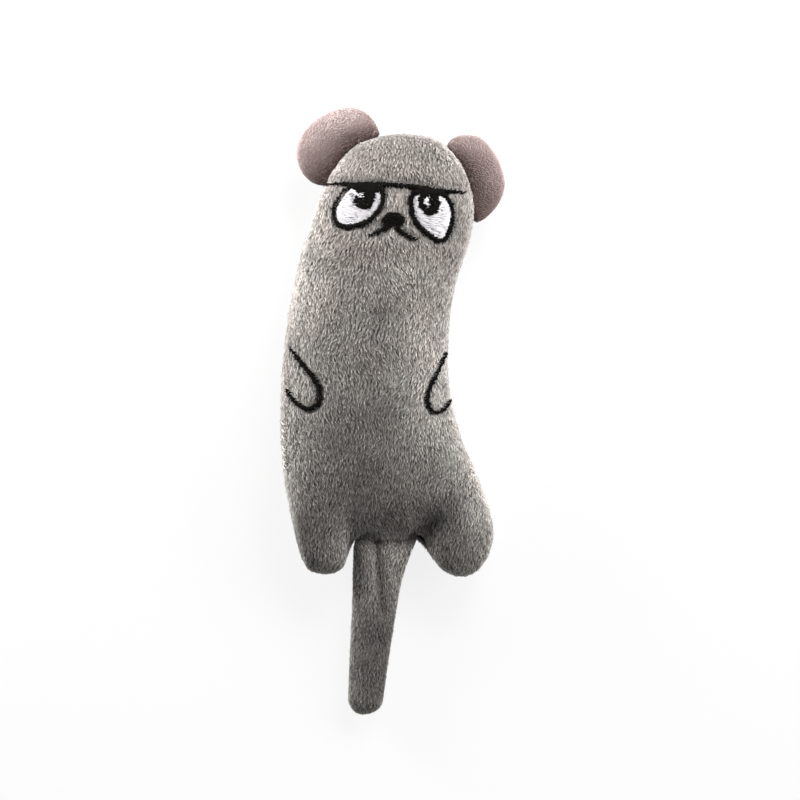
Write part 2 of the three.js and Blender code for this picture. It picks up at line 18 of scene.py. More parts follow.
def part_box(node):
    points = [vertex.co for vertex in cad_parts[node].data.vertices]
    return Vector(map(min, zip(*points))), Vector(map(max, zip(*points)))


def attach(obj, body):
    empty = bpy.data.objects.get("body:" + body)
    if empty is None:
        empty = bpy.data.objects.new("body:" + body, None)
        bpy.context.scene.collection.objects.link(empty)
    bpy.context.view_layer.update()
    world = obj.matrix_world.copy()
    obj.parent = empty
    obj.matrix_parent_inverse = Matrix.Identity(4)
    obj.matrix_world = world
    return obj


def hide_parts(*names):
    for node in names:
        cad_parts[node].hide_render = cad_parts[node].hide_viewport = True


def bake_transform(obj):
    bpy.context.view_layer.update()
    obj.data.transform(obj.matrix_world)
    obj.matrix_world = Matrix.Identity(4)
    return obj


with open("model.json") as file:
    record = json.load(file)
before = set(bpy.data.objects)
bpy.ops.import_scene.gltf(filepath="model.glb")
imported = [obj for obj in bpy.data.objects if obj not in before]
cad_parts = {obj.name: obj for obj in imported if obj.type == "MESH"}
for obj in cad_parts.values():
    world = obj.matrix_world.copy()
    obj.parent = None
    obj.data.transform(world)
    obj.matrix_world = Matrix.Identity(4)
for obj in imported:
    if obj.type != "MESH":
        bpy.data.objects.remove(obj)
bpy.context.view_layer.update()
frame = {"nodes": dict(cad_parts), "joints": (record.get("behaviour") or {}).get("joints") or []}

bl_info = {
    "name": "Catnip Mouse",
    "version": (1, 0, 0),
    "blender": (4, 5, 0),
    "location": "View3D > Sidebar > Mouse",
    "description": "Dresses the packed frame of a stuffed catnip mouse in plush, thread and stuffing",
    "category": "Object",
}

MM = 0.001
JOINTS = {joint["name"]: joint for joint in frame["joints"]}
TAIL_HINGE = np.array((-2.2, -35.2, 0.0))
ORIGIN = np.array(JOINTS["tail_lift"]["pos_m"]) - TAIL_HINGE * MM
FLOOR_Z = -ORIGIN[2] / MM

# Outlines, in pattern millimetres, clockwise from the crown.
BODY_EDGE = (
    (2, 69.5), (10.3, 68.5), (16, 64.1), (19.5, 57.9), (21.1, 51.1), (19.75, 42.4), (16, 30.4),
    (14.5, 16.4), (15, 4.4), (18, -7.6), (23, -19.6), (25.8, -29.8), (24.2, -37), (21, -40.9),
    (17.2, -42), (13, -40.6), (8.9, -36), (6.4, -33.2), (3, -31.8), (-2.2, -31), (-7.6, -31.1),
    (-9.6, -33.6), (-10.8, -36.6), (-11.9, -39.6), (-14.4, -41.1), (-18, -41.2), (-21.2, -40.1),
    (-22.8, -37.6), (-25, -29.6), (-27.75, -13.6), (-28.25, 4.4), (-26.5, 22.4), (-23.25, 38.4),
    (-18.25, 54.4), (-15, 60.6), (-8.9, 66.9), (-2.75, 68.95),
)
LEFT_EAR_EDGE = (
    (-3.1, 69), (-8.2, 65.9), (-11.9, 63.2), (-14.1, 60), (-16.6, 56.3), (-19.6, 56.8), (-21.9, 58.7),
    (-24, 63.7), (-23.4, 67.4), (-21.4, 70.9), (-15.4, 75), (-11.55, 75.9), (-8.9, 75.7), (-6.2, 74.2),
    (-4.3, 72.1),
)
RIGHT_EAR_EDGE = (
    (13.7, 66.6), (16, 68.45), (19.1, 68.95), (21.75, 68.45), (24.4, 66), (26.7, 62.5), (28.1, 57.9),
    (28.1, 55.6), (27.1, 52.6), (25.2, 49.9), (22.9, 47.8), (20.6, 47), (19.9, 51), (19.2, 54.6),
    (17.6, 59), (15, 63.4),
)

# Stuffing: how far each panel stands off the seam where it is widest, and how soon it gets there.
FRONT_FULL, FRONT_SOFT = 15.0, 11.0
BACK_FULL, BACK_SOFT = 15.0, 9.0
EAR_FULL, EAR_SOFT = 4.2, 5.0
# How the knitted backing resists the swelling.
KNIT = {
    "quality": 6, "mass": 0.25, "tension_stiffness": 22, "compression_stiffness": 22,
    "shear_stiffness": 12, "bending_stiffness": 1.2,
}
# How far apart points lie along each seam and over each panel, and how far the ears' seams lie inwards.
BODY_SEAM_STEP, BODY_STEP = 1.1, 1.5
EAR_SEAM_STEP, EAR_STEP, EAR_INSET = 0.9, 1.2, 0.15
# How deep the back lies below the seam where it rests on the floor.
REST_DEPTH = 9.5
# The lower belly thins out: from where, over what length, how suddenly and how much, and how much more over
# the tail, with the middle and the half width of that.
SLUMP_FROM, SLUMP_RUN, SLUMP_CURVE, SLUMP = 5, 38, 2.2, 0.3
TAIL_SLUMP, TAIL_SLUMP_X, TAIL_SLUMP_WIDTH = 0.3, -2, 11
# How much room the wadding leaves under the cloth, and below the belly's wads for the tail's root to sway.
BODY_WAD_ROOM, EAR_WAD_ROOM, TAIL_WAD_ROOM = 1.5, 1.1, 2.0
BELLY_WAD_END, BELLY_WAD_DRAW = -18, 0.55
# What lies inside: the size of its mesh's cells and the height of its lumps.
BODY_WAD_GRAIN, EAR_WAD_GRAIN = (0.9, 0.25), (0.6, 0.15)
MUSLIN_GRAIN, HERB_GRAIN = (0.35, 0.05), (0.5, 0.35)
# Crumbs of leaf on the heap: their spacing and depth, and how far they reach and rise at root, waist and tip.
CRUMB_SPACING, CRUMB_DEPTH = 1.1, 0.45
CRUMB_BENDS = ((0, 0), (0.6, 0.3), (1.1, 0.2))

# Embroidery, in pattern millimetres: paths with widths, and outlines of filled patches.
BROW = (
    (-15.8, 56.1), (-12.75, 56.4), (-8, 56.4), (-3, 56.4), (2.5, 56.1), (8.25, 55.4), (13.25, 54.6),
    (17.9, 54.3),
)
BROW_WIDTHS = (0.1, 0.8, 1.2, 1.2, 0.9, 1.2, 1, 0.2)
LEFT_LID = ((-10.6, 55.4), (-8, 55.3), (-5, 55.2), (-2.4, 55))
RIGHT_LID = ((4.8, 54.6), (8, 54.3), (12, 54.1), (13.6, 53.6))
LID_WIDTHS = (0.5, 1.3, 1.6, 1.4)
LEFT_EYE = (
    (-11.2, 55.2), (-12.8, 53.3), (-14.1, 50.8), (-14.3, 48.4), (-13.5, 46.4), (-11.5, 45.9),
    (-9, 46.1), (-6.2, 47.1), (-3.8, 49.2), (-2.3, 52.2), (-2.4, 55.2),
)
LEFT_EYE_WIDTHS = (0.4, 0.5, 0.9, 1.1, 1.2, 1.2, 1.1, 1, 1.2, 1.4, 1.4)
LEFT_WHITE = (
    (-10.2, 54.8), (-12, 53), (-13.4, 50.7), (-13.7, 48.5), (-13, 47), (-11.4, 46.5), (-9, 46.6),
    (-6.4, 47.6), (-4.2, 49.6), (-2.9, 52.3), (-3.2, 54.8),
)
LEFT_PUPIL = (
    (-9.2, 53), (-9.5, 51.9), (-8.4, 50.7), (-6.5, 50.2), (-4.9, 51.1), (-4.2, 53), (-4.4, 55.2),
    (-8.6, 55.2),
)
LEFT_GLINT = ((-10.3, 54.3), (-9.2, 54.1), (-8.1, 53.6), (-7.2, 53))
GLINT_WIDTHS = (0.9, 1.1, 1, 0.5)
RIGHT_EYE = (
    (8.5, 55), (5.2, 54), (4.8, 50.9), (5.5, 47.8), (7.1, 45.6), (9.2, 43.8), (11.5, 42.4),
    (13.2, 42.9), (14.5, 45.7), (14.95, 50), (13.7, 52.9), (11.8, 54.3),
)
RIGHT_EYE_WIDTHS = (1.2, 1.2, 1.1, 1.1, 1.1, 1.1, 1.2, 1.1, 1, 1, 1, 1.1)
RIGHT_WHITE = (
    (7, 54), (5.6, 53), (5.3, 50.9), (6, 48), (7.5, 46), (9.4, 44.3), (11.5, 42.9), (12.9, 43.4),
    (14.1, 46.1), (14.5, 49.9), (13.2, 52.7), (11.5, 53.9),
)
RIGHT_PUPIL = (
    (6.5, 53.4), (6.6, 51.2), (7.9, 49.4), (9.7, 48.7), (11.3, 49.5), (12, 51.4), (11.7, 53.3),
    (10.4, 54.4), (7.5, 54.4),
)
RIGHT_GLINT = ((8.7, 52.8), (8.5, 52), (8.6, 51.2))
RIGHT_GLINT_WIDTHS = (0.8, 1, 0.7)
NOSE = (
    (-2.5, 47.3), (-1.8, 48.7), (-0.2, 49.3), (1.8, 49.1), (3.1, 47.6), (2.3, 45.8), (0.4, 45.9),
    (-1.4, 45.2),
)
MOUTH_LEFT = ((-0.75, 45.9), (-2.6, 44.9), (-5.7, 43.7))
MOUTH_LEFT_WIDTHS = (1, 0.9, 0.15)
MOUTH_RIGHT = ((1.25, 45.8), (2.75, 44.2), (4.6, 43), (6.2, 42.6))
MOUTH_RIGHT_WIDTHS = (1.2, 1, 0.8, 0.15)
LEFT_ARM = (
    (-24.9, 15.2), (-22.25, 11.6), (-19.6, 8.2), (-18, 4.75), (-18.4, 1.7), (-21.1, 0.4), (-24.2, 2.45),
    (-26, 5.3),
)
LEFT_ARM_WIDTHS = (0.3, 0.9, 1, 1.15, 1.25, 1.15, 0.9, 0.3)
RIGHT_ARM = ((13.1, 14.3), (11, 9.4), (9.1, 5.1), (8.75, 1.7), (10.65, -0.6), (12.5, 0.1), (14.2, 2.6))
RIGHT_ARM_WIDTHS = (0.2, 0.6, 0.8, 0.9, 0.9, 0.8, 0.3)
# Closing stitches: each one's place along the left side, where that side's edge is and how far it leans, and
# how far off that place a stitch starts and ends.
CLOSING_STITCHES_Y = (-3.3, -5.1, -6.7, -9.4, -10.9, -12.6, -14.3)
CLOSING_EDGE, CLOSING_LEAN = -28.2, 0.03
CLOSING_ENDS = ((1.4, 0.5), (2.1, -0.45))
# How far apart rows of fill stitches lie, and the white thread's width as a share of the black thread's.
FILL_PITCH, WHITE_PITCH, WHITE_SHARE = 0.2, 0.19, 0.75
FACE_SEED, CLOSING_SEED = 31, 37
# Stitches in layers: how far each stands off its cloth at its ends and in its middle.
UNDERLAY, GROUND, OVER, TOP, CLOSING = (0.0, 0.25), (0.1, 0.45), (0.2, 0.75), (0.75, 1.1), (0.2, 0.9)

# Patches of paler and darker pile, partly nap combed differently, mostly painted light and shade: lit flanks
# and edges, and painted shadow in the hip's crease and along the belly's edge over the tail. Their middle,
# half width, half length and amount.
NAP_AND_PAINTED_LIGHT = (
    (-9, 65, 3, 3, -0.2), (0, 67.5, 8, 3, -0.2), (17, 66, 4, 3, 0.5), (-11, 72, 5, 3.5, 0.3),
    (21.5, 53, 2.5, 5, 0.3), (-17, 48, 3.5, 8, 0.52), (0, 51, 5, 4.5, 0.5), (-1, 44, 7, 2.5, 0.35),
    (-15.5, 40, 4, 4, -0.18), (2, 35, 4.5, 5, 0.3), (-21.5, 28, 5, 9, 0.45), (-27, 24, 2, 9, -0.35),
    (-2.5, 24, 3.5, 3.5, -0.26), (6, 20, 4, 5, 0.28), (-18, 18, 3.5, 5, -0.15), (8.5, 11, 5, 10, 0.45),
    (-24, 8, 3.5, 7, 0.25), (-18, 3.5, 5, 4, 0.3), (-3, 1, 4.5, 6, -0.28), (-13, -3, 4, 6, -0.15),
    (8.5, -8, 6, 9, 0.38), (-24, -13, 4, 5, 0.3), (-13, -14, 6, 12, -0.12), (3.5, -20, 4.5, 10, 0.42),
    (21, -21, 4, 8, 0.42), (14, -22.5, 3, 3.5, -0.22), (9.4, -29, 3.6, 3.4, -0.45),
    (-8, -30.6, 3.5, 1.2, -0.45), (4, -31, 2.5, 1.3, -0.15), (-1.6, -30.4, 3, 2, 0.6),
    (-7.5, -27, 3, 2, -0.15), (-17, -32, 5, 7, 0.25), (-23, -33, 2.4, 7, -0.45), (23, -33, 3, 7, 0.2),
    (10.5, -35, 2, 3, 0.8), (19.5, -33.5, 3, 3, -0.2), (16, -39.5, 6, 2.5, 0.3),
)

# How much further apart the back's tufts are, and the length of the tail's tufts as a share of the body's.
BACK_SPARSER, TAIL_SHORTER = 1.25, 0.75
# Painted shade: the lower belly is a little darker, how much, from where and over what length.
LOWER_SHADE, LOWER_SHADE_FROM, LOWER_SHADE_RUN = 0.08, 18, 45
# Painted shade on the ears: they grow paler away from the head, which shades them. Up to what distance, and
# how much in each millimetre.
EAR_SHADE_REACH, EAR_SHADE_RISE = 8.5, 0.108

# Creases pressed into the front panel: path, depth at each point, width.
CREASES = (
    (((5.6, -32.8), (8, -30.4), (10.4, -28), (12.8, -25)), (1.7, 2.3, 2.1, 0.3), 3.1),
    (((-10, -33.6), (-10.6, -29.5), (-13, -26)), (0.8, 0.8, 0), 2.4),
)

TAIL_ROOT_Y = -33.2
TAIL_LENGTH = 43.8
# Tail stations: share of the length, left and right edge, height of the middle, half thickness.
TAIL_STATIONS = (
    (-0.12, -8.5, 5, -0.6, 0.8), (-0.05, -9.6, 7, -0.2, 1.4), (0, -10.2, 6.7, -0.1, 1.9),
    (0.035, -10.2, 5.6, -0.2, 2.3), (0.1, -10.2, 4.4, -0.7, 2.9), (0.22, -10.3, 2.8, -2.3, 3.4),
    (0.36, -10.5, 1.7, -4, 4), (0.56, -10.9, 0.3, -5.6, 4.1), (0.78, -11.3, -1.1, -6.3, 4),
    (0.9, -11.5, -1.8, -6.4, 3.8),
)
# Pleats on the tail's upper side: place at the root, drift along the tail, width, depth; and their length.
TAIL_PLEATS = ((-3.9, 1.4, 1.1, 1.6), (-9, 0, 0.9, 0.8))
PLEAT_LENGTH = 20
# Painted light and shade on the tail: its tone, how it grows from left to right, and its left edge's pale
# strip. Places along the tail, amounts.
TAIL_TONE = ((0, 0.2, 0.4, 0.62, 0.78, 0.9, 1), (1, 0.87, 0.8, 0.73, 0.71, 0.77, 1.3))
TAIL_TURN = ((0, 0.05, 0.12, 0.2, 0.32, 0.5, 0.8, 1), (0.7, 0.9, 0.95, 0.85, 0.5, -0.3, -0.5, -0.1))
TAIL_STRIP = ((0.08, 0.16, 0.25, 0.45, 0.6), (-0.5, 0.2, 0.6, 0.5, 0.15))

# The belly's edge over the tail's root: its middle, half width and half length.
TAIL_MOUTH = (-2.5, -30.3, 8.5, 0.9)

# How far the fold of an ear and of the tail reaches on each side of its hinge.
EAR_FOLD, TAIL_FOLD = (0.5, 4), (1, 7)

# Turns of the tack's two strands round each other.
TACK_TURNS = 5

# Stage: the floor's width in metres, how white it shows in its middle and outwards, and the camera's sensor.
FLOOR_WIDTH, WHITE_IN_MIDDLE, WHITE_OUTWARDS = 4.0, 0.84, 1.3
SENSOR_WIDTH = 36.0
# A height above the whole toy, where rays down to its cloth start.
ABOVE_ALL = 60

# Sheets of cloth and the places of stitches, kept by the steps that make them for the steps that follow.
made = {}


def srgb(red, green, blue):
    """A colour written as screen values from 0 to 255, as Blender's linear colour."""
    return tuple(
        c / 12.92 if c <= 0.04045 else ((c + 0.055) / 1.055) ** 2.4
        for c in (red / 255, green / 255, blue / 255)
    )


def colour_prop(name, description, value):
    return FloatVectorProperty(
        name=name, description=description, subtype="COLOR", size=3, min=0, max=1, default=srgb(*value)
    )


def length_prop(name, description, millimetres):
    return FloatProperty(
        name=name, description=description, unit="LENGTH", default=millimetres * MM, min=0, precision=5
    )


def number_prop(name, description, value, unit="NONE"):
    return FloatProperty(name=name, description=description, unit=unit, default=value)


class MousePlush(bpy.types.PropertyGroup):
    """Sizes of the cloth, the pile and the thread."""

    pile_length: length_prop("Pile length", "Length of one tuft of the grey pile", 1.25)
    pile_width: length_prop("Tuft width", "Width of one tuft at its root", 0.27)
    pile_spacing: length_prop("Tuft spacing", "Distance between neighbouring tufts", 0.37)
    pile_rise: length_prop("Pile height", "How far the lying pile stands off its cloth", 0.7)
    ear_pile_length: length_prop("Ear pile length", "Length of one tuft of the ears' shorter pile", 0.8)
    cloth: length_prop("Cloth thickness", "Thickness of the knitted backing", 0.8)
    thread: length_prop("Thread width", "Diameter of the embroidery thread", 0.3)
    closing_thread: length_prop("Closing thread width", "Diameter of the thread that closes the side", 0.3)
    pressure: number_prop("Stuffing pressure", "How hard the stuffing swells the cloth", 4.0)
    swell_frames: IntProperty(
        name="Swelling frames", description="Frames that the swelling runs for", default=18
    )
    swell_cap: length_prop("Swelling limit", "How far the swelling may move the cloth", 1.6)


class MouseColours(bpy.types.PropertyGroup):
    """Colours of the plush, the threads and the stuffing."""

    grey_tip: colour_prop("Grey tips", "Tips of the grey pile", (187, 183, 177))
    # The roots' colours are dark as painted shade deep in the pile.
    grey_root: colour_prop("Grey roots", "Roots of the grey pile", (74, 70, 67))
    grey_warm: colour_prop("Grey, warm", "Warm patches in the grey pile", (186, 174, 168))
    pink_tip: colour_prop("Pink tips", "Tips of the ears' pile", (198, 192, 191))
    # The roots' colours are dark as painted shade deep in the pile.
    pink_root: colour_prop("Pink roots", "Roots of the ears' pile", (113, 76, 68))
    pink_warm: colour_prop("Pink, warm", "Warm patches in the ears' pile", (188, 175, 172))
    black_thread: colour_prop("Black thread", "Embroidery of the brow, eyes, nose, mouth and arms", (9, 8, 7))
    white_thread: colour_prop("White thread", "Embroidery of the eyes", (232, 230, 232))
    pale_thread: colour_prop("Closing thread", "Thread that closes the side", (226, 224, 222))
    wadding: colour_prop("Wadding", "Polyester fibre stuffing", (236, 236, 232))
    muslin: colour_prop("Muslin", "Cloth of the catnip sachet", (222, 212, 192))
    herb: colour_prop("Herb", "Dried catnip", (118, 122, 74))
    floor: colour_prop("Floor", "Pale studio floor", (250, 250, 250))


class MouseStage(bpy.types.PropertyGroup):
    """Camera and light."""

    lens: number_prop("Lens", "Focal length of the camera in millimetres", 150.0)
    view_width: length_prop("View width", "Width of the picture at the seam", 200)
    view_x: length_prop("View x", "Middle of the picture, to the viewer's right of the pattern's origin", 2.0)
    view_y: length_prop("View y", "Middle of the picture, towards the crown from the pattern's origin", 2.625)
    key_power: number_prop("Key light", "Power of the soft light on the head side", 0.3, "POWER")
    left_power: number_prop("Left light", "Power of the low soft light on the left", 3.5, "POWER")
    right_power: number_prop("Right light", "Power of the low soft light on the right", 1.75, "POWER")
    crown_wall: number_prop("Crown wall", "Strength of the light from the pale wall past the crown", 0.5)
    foot_wall: number_prop("Foot wall", "Strength of the light from the pale wall past the feet", 0.9)
    ceiling: number_prop("Ceiling", "Strength of the even light from all round", 0.03)


class Value:
    """A socket of a finish's nodes. Arithmetic on it adds Math nodes."""

    def __init__(self, finish, socket):
        self.finish = finish
        self.socket = socket

    def math(self, operation, first, second):
        return self.finish.node("ShaderNodeMath", {"operation": operation}, {0: first, 1: second})

    def __add__(self, other):
        return self.math("ADD", self, other)

    def __radd__(self, other):
        return self.math("ADD", other, self)

    def __sub__(self, other):
        return self.math("SUBTRACT", self, other)

    def __rsub__(self, other):
        return self.math("SUBTRACT", other, self)

    def __mul__(self, other):
        return self.math("MULTIPLY", self, other)


class Finish:
    """A node tree that is built by expressions: a material's or the world's."""

    def __init__(self, owner):
        owner.use_nodes = True
        self.owner = owner
        self.tree = owner.node_tree
        self.tree.nodes.clear()

    def node(self, kind, settings=None, inputs=None, output=0):
        """Adds a node: its settings first, then the values or links of its sockets."""
        added = self.tree.nodes.new(kind)
        for name, value in (settings or {}).items():
            setattr(added, name, value)
        for name, value in (inputs or {}).items():
            if isinstance(value, Value):
                self.tree.links.new(value.socket, added.inputs[name])
            else:
                added.inputs[name].default_value = value
        return Value(self, added.outputs[output]) if added.outputs else added

    def mix(self, share, first, second):
        """A colour between two colours."""
        first, second = (c if isinstance(c, Value) else (*c[:3], 1.0) for c in (first, second))
        return self.node("ShaderNodeMix", {"data_type": "RGBA"}, {0: share, 6: first, 7: second}, 2)

    def places(self, stretch=(1, 1, 1)):
        """Where a point is on its piece, in metres, stretched along each axis."""
        spot = self.node("ShaderNodeTexCoord", output="Object")
        return self.node("ShaderNodeVectorMath", {"operation": "MULTIPLY"}, {0: spot, 1: stretch})

    def noise(self, scale, detail=2.0, stretch=(1, 1, 1)):
        spot = self.places(stretch)
        return self.node("ShaderNodeTexNoise", None, {"Vector": spot, "Scale": scale, "Detail": detail})

    def axis(self, vector, name):
        return self.node("ShaderNodeSeparateXYZ", None, {0: vector}, name)

    def bump(self, strength, distance, height):
        relief = {"Strength": strength, "Distance": distance, "Height": height}
        return self.node("ShaderNodeBump", None, relief)

    def seen(self):
        """One for rays that should meet the plain white background, else zero."""
        kinds = ("Camera", "Glossy", "Transmission")
        rays = [self.node("ShaderNodeLightPath", output=f"Is {kind} Ray") for kind in kinds]
        return rays[0].math("MAXIMUM", rays[0].math("MAXIMUM", rays[0], rays[1]), rays[2])

    def attribute(self, name):
        return self.node("ShaderNodeAttribute", {"attribute_name": name}, output="Fac")

    def brightened(self, colour, value):
        return self.node("ShaderNodeHueSaturation", None, {"Color": colour, "Value": value})

    def surface(self, inputs):
        shader = self.node("ShaderNodeBsdfPrincipled", None, inputs)
        self.node("ShaderNodeOutputMaterial", None, {"Surface": shader})
        return self.owner


def pile_finish(name, root, tip, warm, rooted):
    """Tufts dark at the root, painted shade deep in the pile, light at the tip, with soft warm patches, most
    on the head.

    rooted is how far a dark tuft takes its root's colour; tone carries the pile's painted light and shade.
    """
    finish = Finish(bpy.data.materials.new(name))
    along = finish.attribute("along")
    tone = finish.attribute("tone")
    patch = finish.noise(85.0, 1.5)
    crownward = finish.axis(finish.places(), "Y")
    lit = finish.mix(patch * 1.6 - 0.62 + crownward * 6.0, tip, warm)
    tuft = finish.mix((along * 0.8 + 0.12) * (tone * rooted + (1 - rooted)), root, lit)
    colour = finish.brightened(tuft, tone)
    return finish.surface({
        "Base Color": colour,
        "Roughness": 0.85 - along * 0.15,
        "Specular IOR Level": 0.05,
        "Sheen Weight": 0.7,
        "Sheen Roughness": 0.35,
    })


def backing_finish(name, root, tip):
    """Knitted backing that shows between the tufts, streaked along the pile, dark as painted shade under the
    tufts.
    """
    finish = Finish(bpy.data.materials.new(name))
    streak = finish.noise(900.0, 3.0, (1.0, 0.22, 1.0))
    patch = finish.noise(85.0, 1.5)
    colour = finish.mix(streak * 0.5 + patch * 0.2, root, tip)
    return finish.surface({
        "Base Color": colour,
        "Roughness": 0.95 - streak * 0.1,
        "Specular IOR Level": 0.15,
        "Sheen Weight": 0.2,
        "Normal": finish.bump(0.6, 0.0004, streak),
    })


def thread_finish(name, colour, wear_and_shade, roughness=0.45):
    """Twisted thread: fine light and dark along each stitch."""
    finish = Finish(bpy.data.materials.new(name))
    strands = finish.noise(2600.0, 2.0)
    fade = finish.noise(240.0, 2.0)
    shade = finish.mix(strands * 0.7 + fade * 0.5 - 0.25, colour, wear_and_shade)
    return finish.surface({
        "Base Color": shade,
        "Roughness": roughness + strands * 0.25,
        "Specular IOR Level": 0.02,
    })


def wadding_finish(name, colour):
    """Loose white fibres."""
    finish = Finish(bpy.data.materials.new(name))
    fibres = finish.noise(700.0, 4.0, (1.0, 0.3, 0.6))
    clumps = finish.noise(160.0, 2.0)
    shade = finish.mix(fibres * 0.5 + clumps * 0.3, colour, srgb(206, 206, 200))
    return finish.surface({
        "Base Color": shade,
        "Roughness": 0.95 - fibres * 0.1,
        "Sheen Weight": 0.3,
        "Normal": finish.bump(0.8, 0.0005, fibres + clumps),
    })


def muslin_finish(name, colour):
    """Open plain weave: threads across and along, with gaps between."""
    finish = Finish(bpy.data.materials.new(name))
    spot = {"Vector": finish.places(), "Scale": 520.0, "Distortion": 0.6}
    threads = [finish.node("ShaderNodeTexWave", {"bands_direction": way}, spot) for way in ("X", "Y")]
    weave = threads[0] * 0.5 + threads[1] * 0.5
    slub = finish.noise(300.0, 2.0)
    shade = finish.mix(weave * 0.8 + slub * 0.2, srgb(176, 164, 140), colour)
    return finish.surface({
        "Base Color": shade,
        "Roughness": 0.9 - slub * 0.1,
        "Normal": finish.bump(0.7, 0.0002, weave),
    })


def herb_finish(name, colour):
    """Crumbled dry leaf, from green to straw."""
    finish = Finish(bpy.data.materials.new(name))
    leaf = finish.noise(420.0, 3.0)
    dust = finish.noise(2200.0, 2.0)
    shade = finish.mix(leaf * 1.6 - 0.3, colour, srgb(150, 138, 92))
    shade = finish.mix(dust * 0.5, shade, srgb(84, 82, 48))
    return finish.surface({"Base Color": shade, "Roughness": 0.85 + dust * 0.1})


def place(points):
    """Pattern millimetres as metres in the frame."""
    return np.asarray(points, float) * MM + ORIGIN


def unit(vectors):
    return vectors / np.maximum(np.linalg.norm(vectors, axis=-1, keepdims=True), 1e-9)


def spline(knots, step, closed):
    """Points about step apart on a smooth curve through the knots."""
    knots = np.asarray(knots, float)
    before, after = knots[-1:], knots[:2]
    if not closed:
        before, after = 2 * knots[:1] - knots[1:2], 2 * knots[-1:] - knots[-2:-1]
    chain = np.vstack([before, knots, after])
    steps_a_run = 24
    t = np.linspace(0, 1, steps_a_run, endpoint=False)[:, None]
    runs = []
    for a, b, c, d in zip(chain, chain[1:], chain[2:], chain[3:]):
        ab, bc, cd = (math.sqrt(np.linalg.norm(q - p)) for p, q in ((a, b), (b, c), (c, d)))
        leave = bc * ((b - a) / ab - (c - a) / (ab + bc) + (c - b) / bc)
        arrive = bc * ((c - b) / bc - (d - b) / (bc + cd) + (d - c) / cd)
        runs.append(
            b * (2 * t**3 - 3 * t**2 + 1) + leave * (t**3 - 2 * t**2 + t)
            + c * (3 * t**2 - 2 * t**3) + arrive * (t**3 - t**2)
        )
    line = np.vstack(runs + [knots[:1] if closed else knots[-1:]])
    gone = np.concatenate([[0], np.cumsum(np.linalg.norm(np.diff(line, axis=0), axis=1))])
    count = max(3, round(gone[-1] / step))
    stops = np.linspace(0, gone[-1], count + 1)[: count if closed else None]
    return np.stack([np.interp(stops, gone, line[:, k]) for k in range(line.shape[1])], 1)


def inset(edge, distance):
    """A closed clockwise line moved inwards."""
    ahead = np.roll(edge, -1, 0) - np.roll(edge, 1, 0)
    inward = unit(np.stack([ahead[:, 1], -ahead[:, 0]], 1))
    return edge + inward * distance


def inside(points, edge):
    """Which points lie within a closed line."""
    x, y = points[:, :1], points[:, 1:2]
    x0, y0 = edge[:, 0], edge[:, 1]
    x1, y1 = np.roll(x0, -1), np.roll(y0, -1)
    spans = (y0 > y) != (y1 > y)
    rise = np.where(y1 == y0, 1e-9, y1 - y0)
    return ((spans & (x < (x1 - x0) * (y - y0) / rise + x0)).sum(1) % 2) == 1


def off_line(points, line, closed=True):
    """Distance from each point to a line, and the share of the line where it is nearest."""
    ends = np.roll(line, -1, 0) if closed else line[1:]
    starts = line if closed else line[:-1]
    best = np.full(len(points), np.inf)
    share = np.zeros(len(points))
    for k, (a, b) in enumerate(zip(starts, ends)):
        run = b - a
        t = np.clip(((points - a) @ run) / max(run @ run, 1e-12), 0, 1)
        far = np.linalg.norm(points - a - t[:, None] * run, axis=1)
        nearer = far < best
        best[nearer] = far[nearer]
        share[nearer] = (k + t[nearer]) / len(starts)
    return best, share


def ripple(points, wavelength, seed, waves=8):
    """A smooth uneven field over points, mostly from -1 to 1."""
    rng = np.random.default_rng(seed)
    heading = unit(rng.normal(size=(waves, points.shape[1])))
    pace = 2 * math.pi / (wavelength * rng.uniform(0.7, 1.4, waves))
    phase = points @ (heading * pace[:, None]).T + rng.uniform(0, 2 * math.pi, waves)
    return np.sin(phase).sum(1) / math.sqrt(waves)


def locks(points, pitch, reach, seed, waves=24):
    """An uneven field of narrow locks side by side along x, each about reach long, mostly from -1 to 1."""
    rng = np.random.default_rng(seed)
    across = rng.uniform(0.88, 1.15, waves) / pitch
    along = [rng.normal(0, 0.3, waves) / reach for _ in range(2)]
    pace = 2 * math.pi * np.column_stack([across, *along])
    return np.sin(points @ pace.T + rng.uniform(0, 2 * math.pi, waves)).sum(1) / math.sqrt(waves)


def room_inside(edge, step=0.5, rounds=420):
    """How roomy an outline is at any point: the half width of the strip that would hold as much stuffing."""
    low = edge.min(0) - 2 * step
    nx, ny = np.ceil((edge.max(0) + 2 * step - low) / step).astype(int)
    gx, gy = np.meshgrid(low[0] + step * np.arange(nx), low[1] + step * np.arange(ny), indexing="ij")
    within = inside(np.stack([gx.ravel(), gy.ravel()], 1), edge).reshape(nx, ny)
    film = np.zeros((nx, ny))
    chequer = (np.add.outer(np.arange(nx), np.arange(ny)) % 2).astype(bool)
    push = 2 / (1 + math.sin(math.pi / max(nx, 40)))
    for _ in range(rounds):
        for half in (within & chequer, within & ~chequer):
            around = np.roll(film, 1, 0) + np.roll(film, -1, 0) + np.roll(film, 1, 1) + np.roll(film, -1, 1)
            film += np.where(half, push * ((around + step * step) / 4 - film), 0)

    def room(points):
        spot = (points - low) / step
        cell = np.clip(np.floor(spot).astype(int), 0, (nx - 2, ny - 2))
        f = spot - cell
        i, j = cell[:, 0], cell[:, 1]
        level = (
            film[i, j] * (1 - f[:, 0]) * (1 - f[:, 1]) + film[i + 1, j] * f[:, 0] * (1 - f[:, 1])
            + film[i, j + 1] * (1 - f[:, 0]) * f[:, 1] + film[i + 1, j + 1] * f[:, 0] * f[:, 1]
        )
        return np.sqrt(2 * np.maximum(level, 0))

    return room


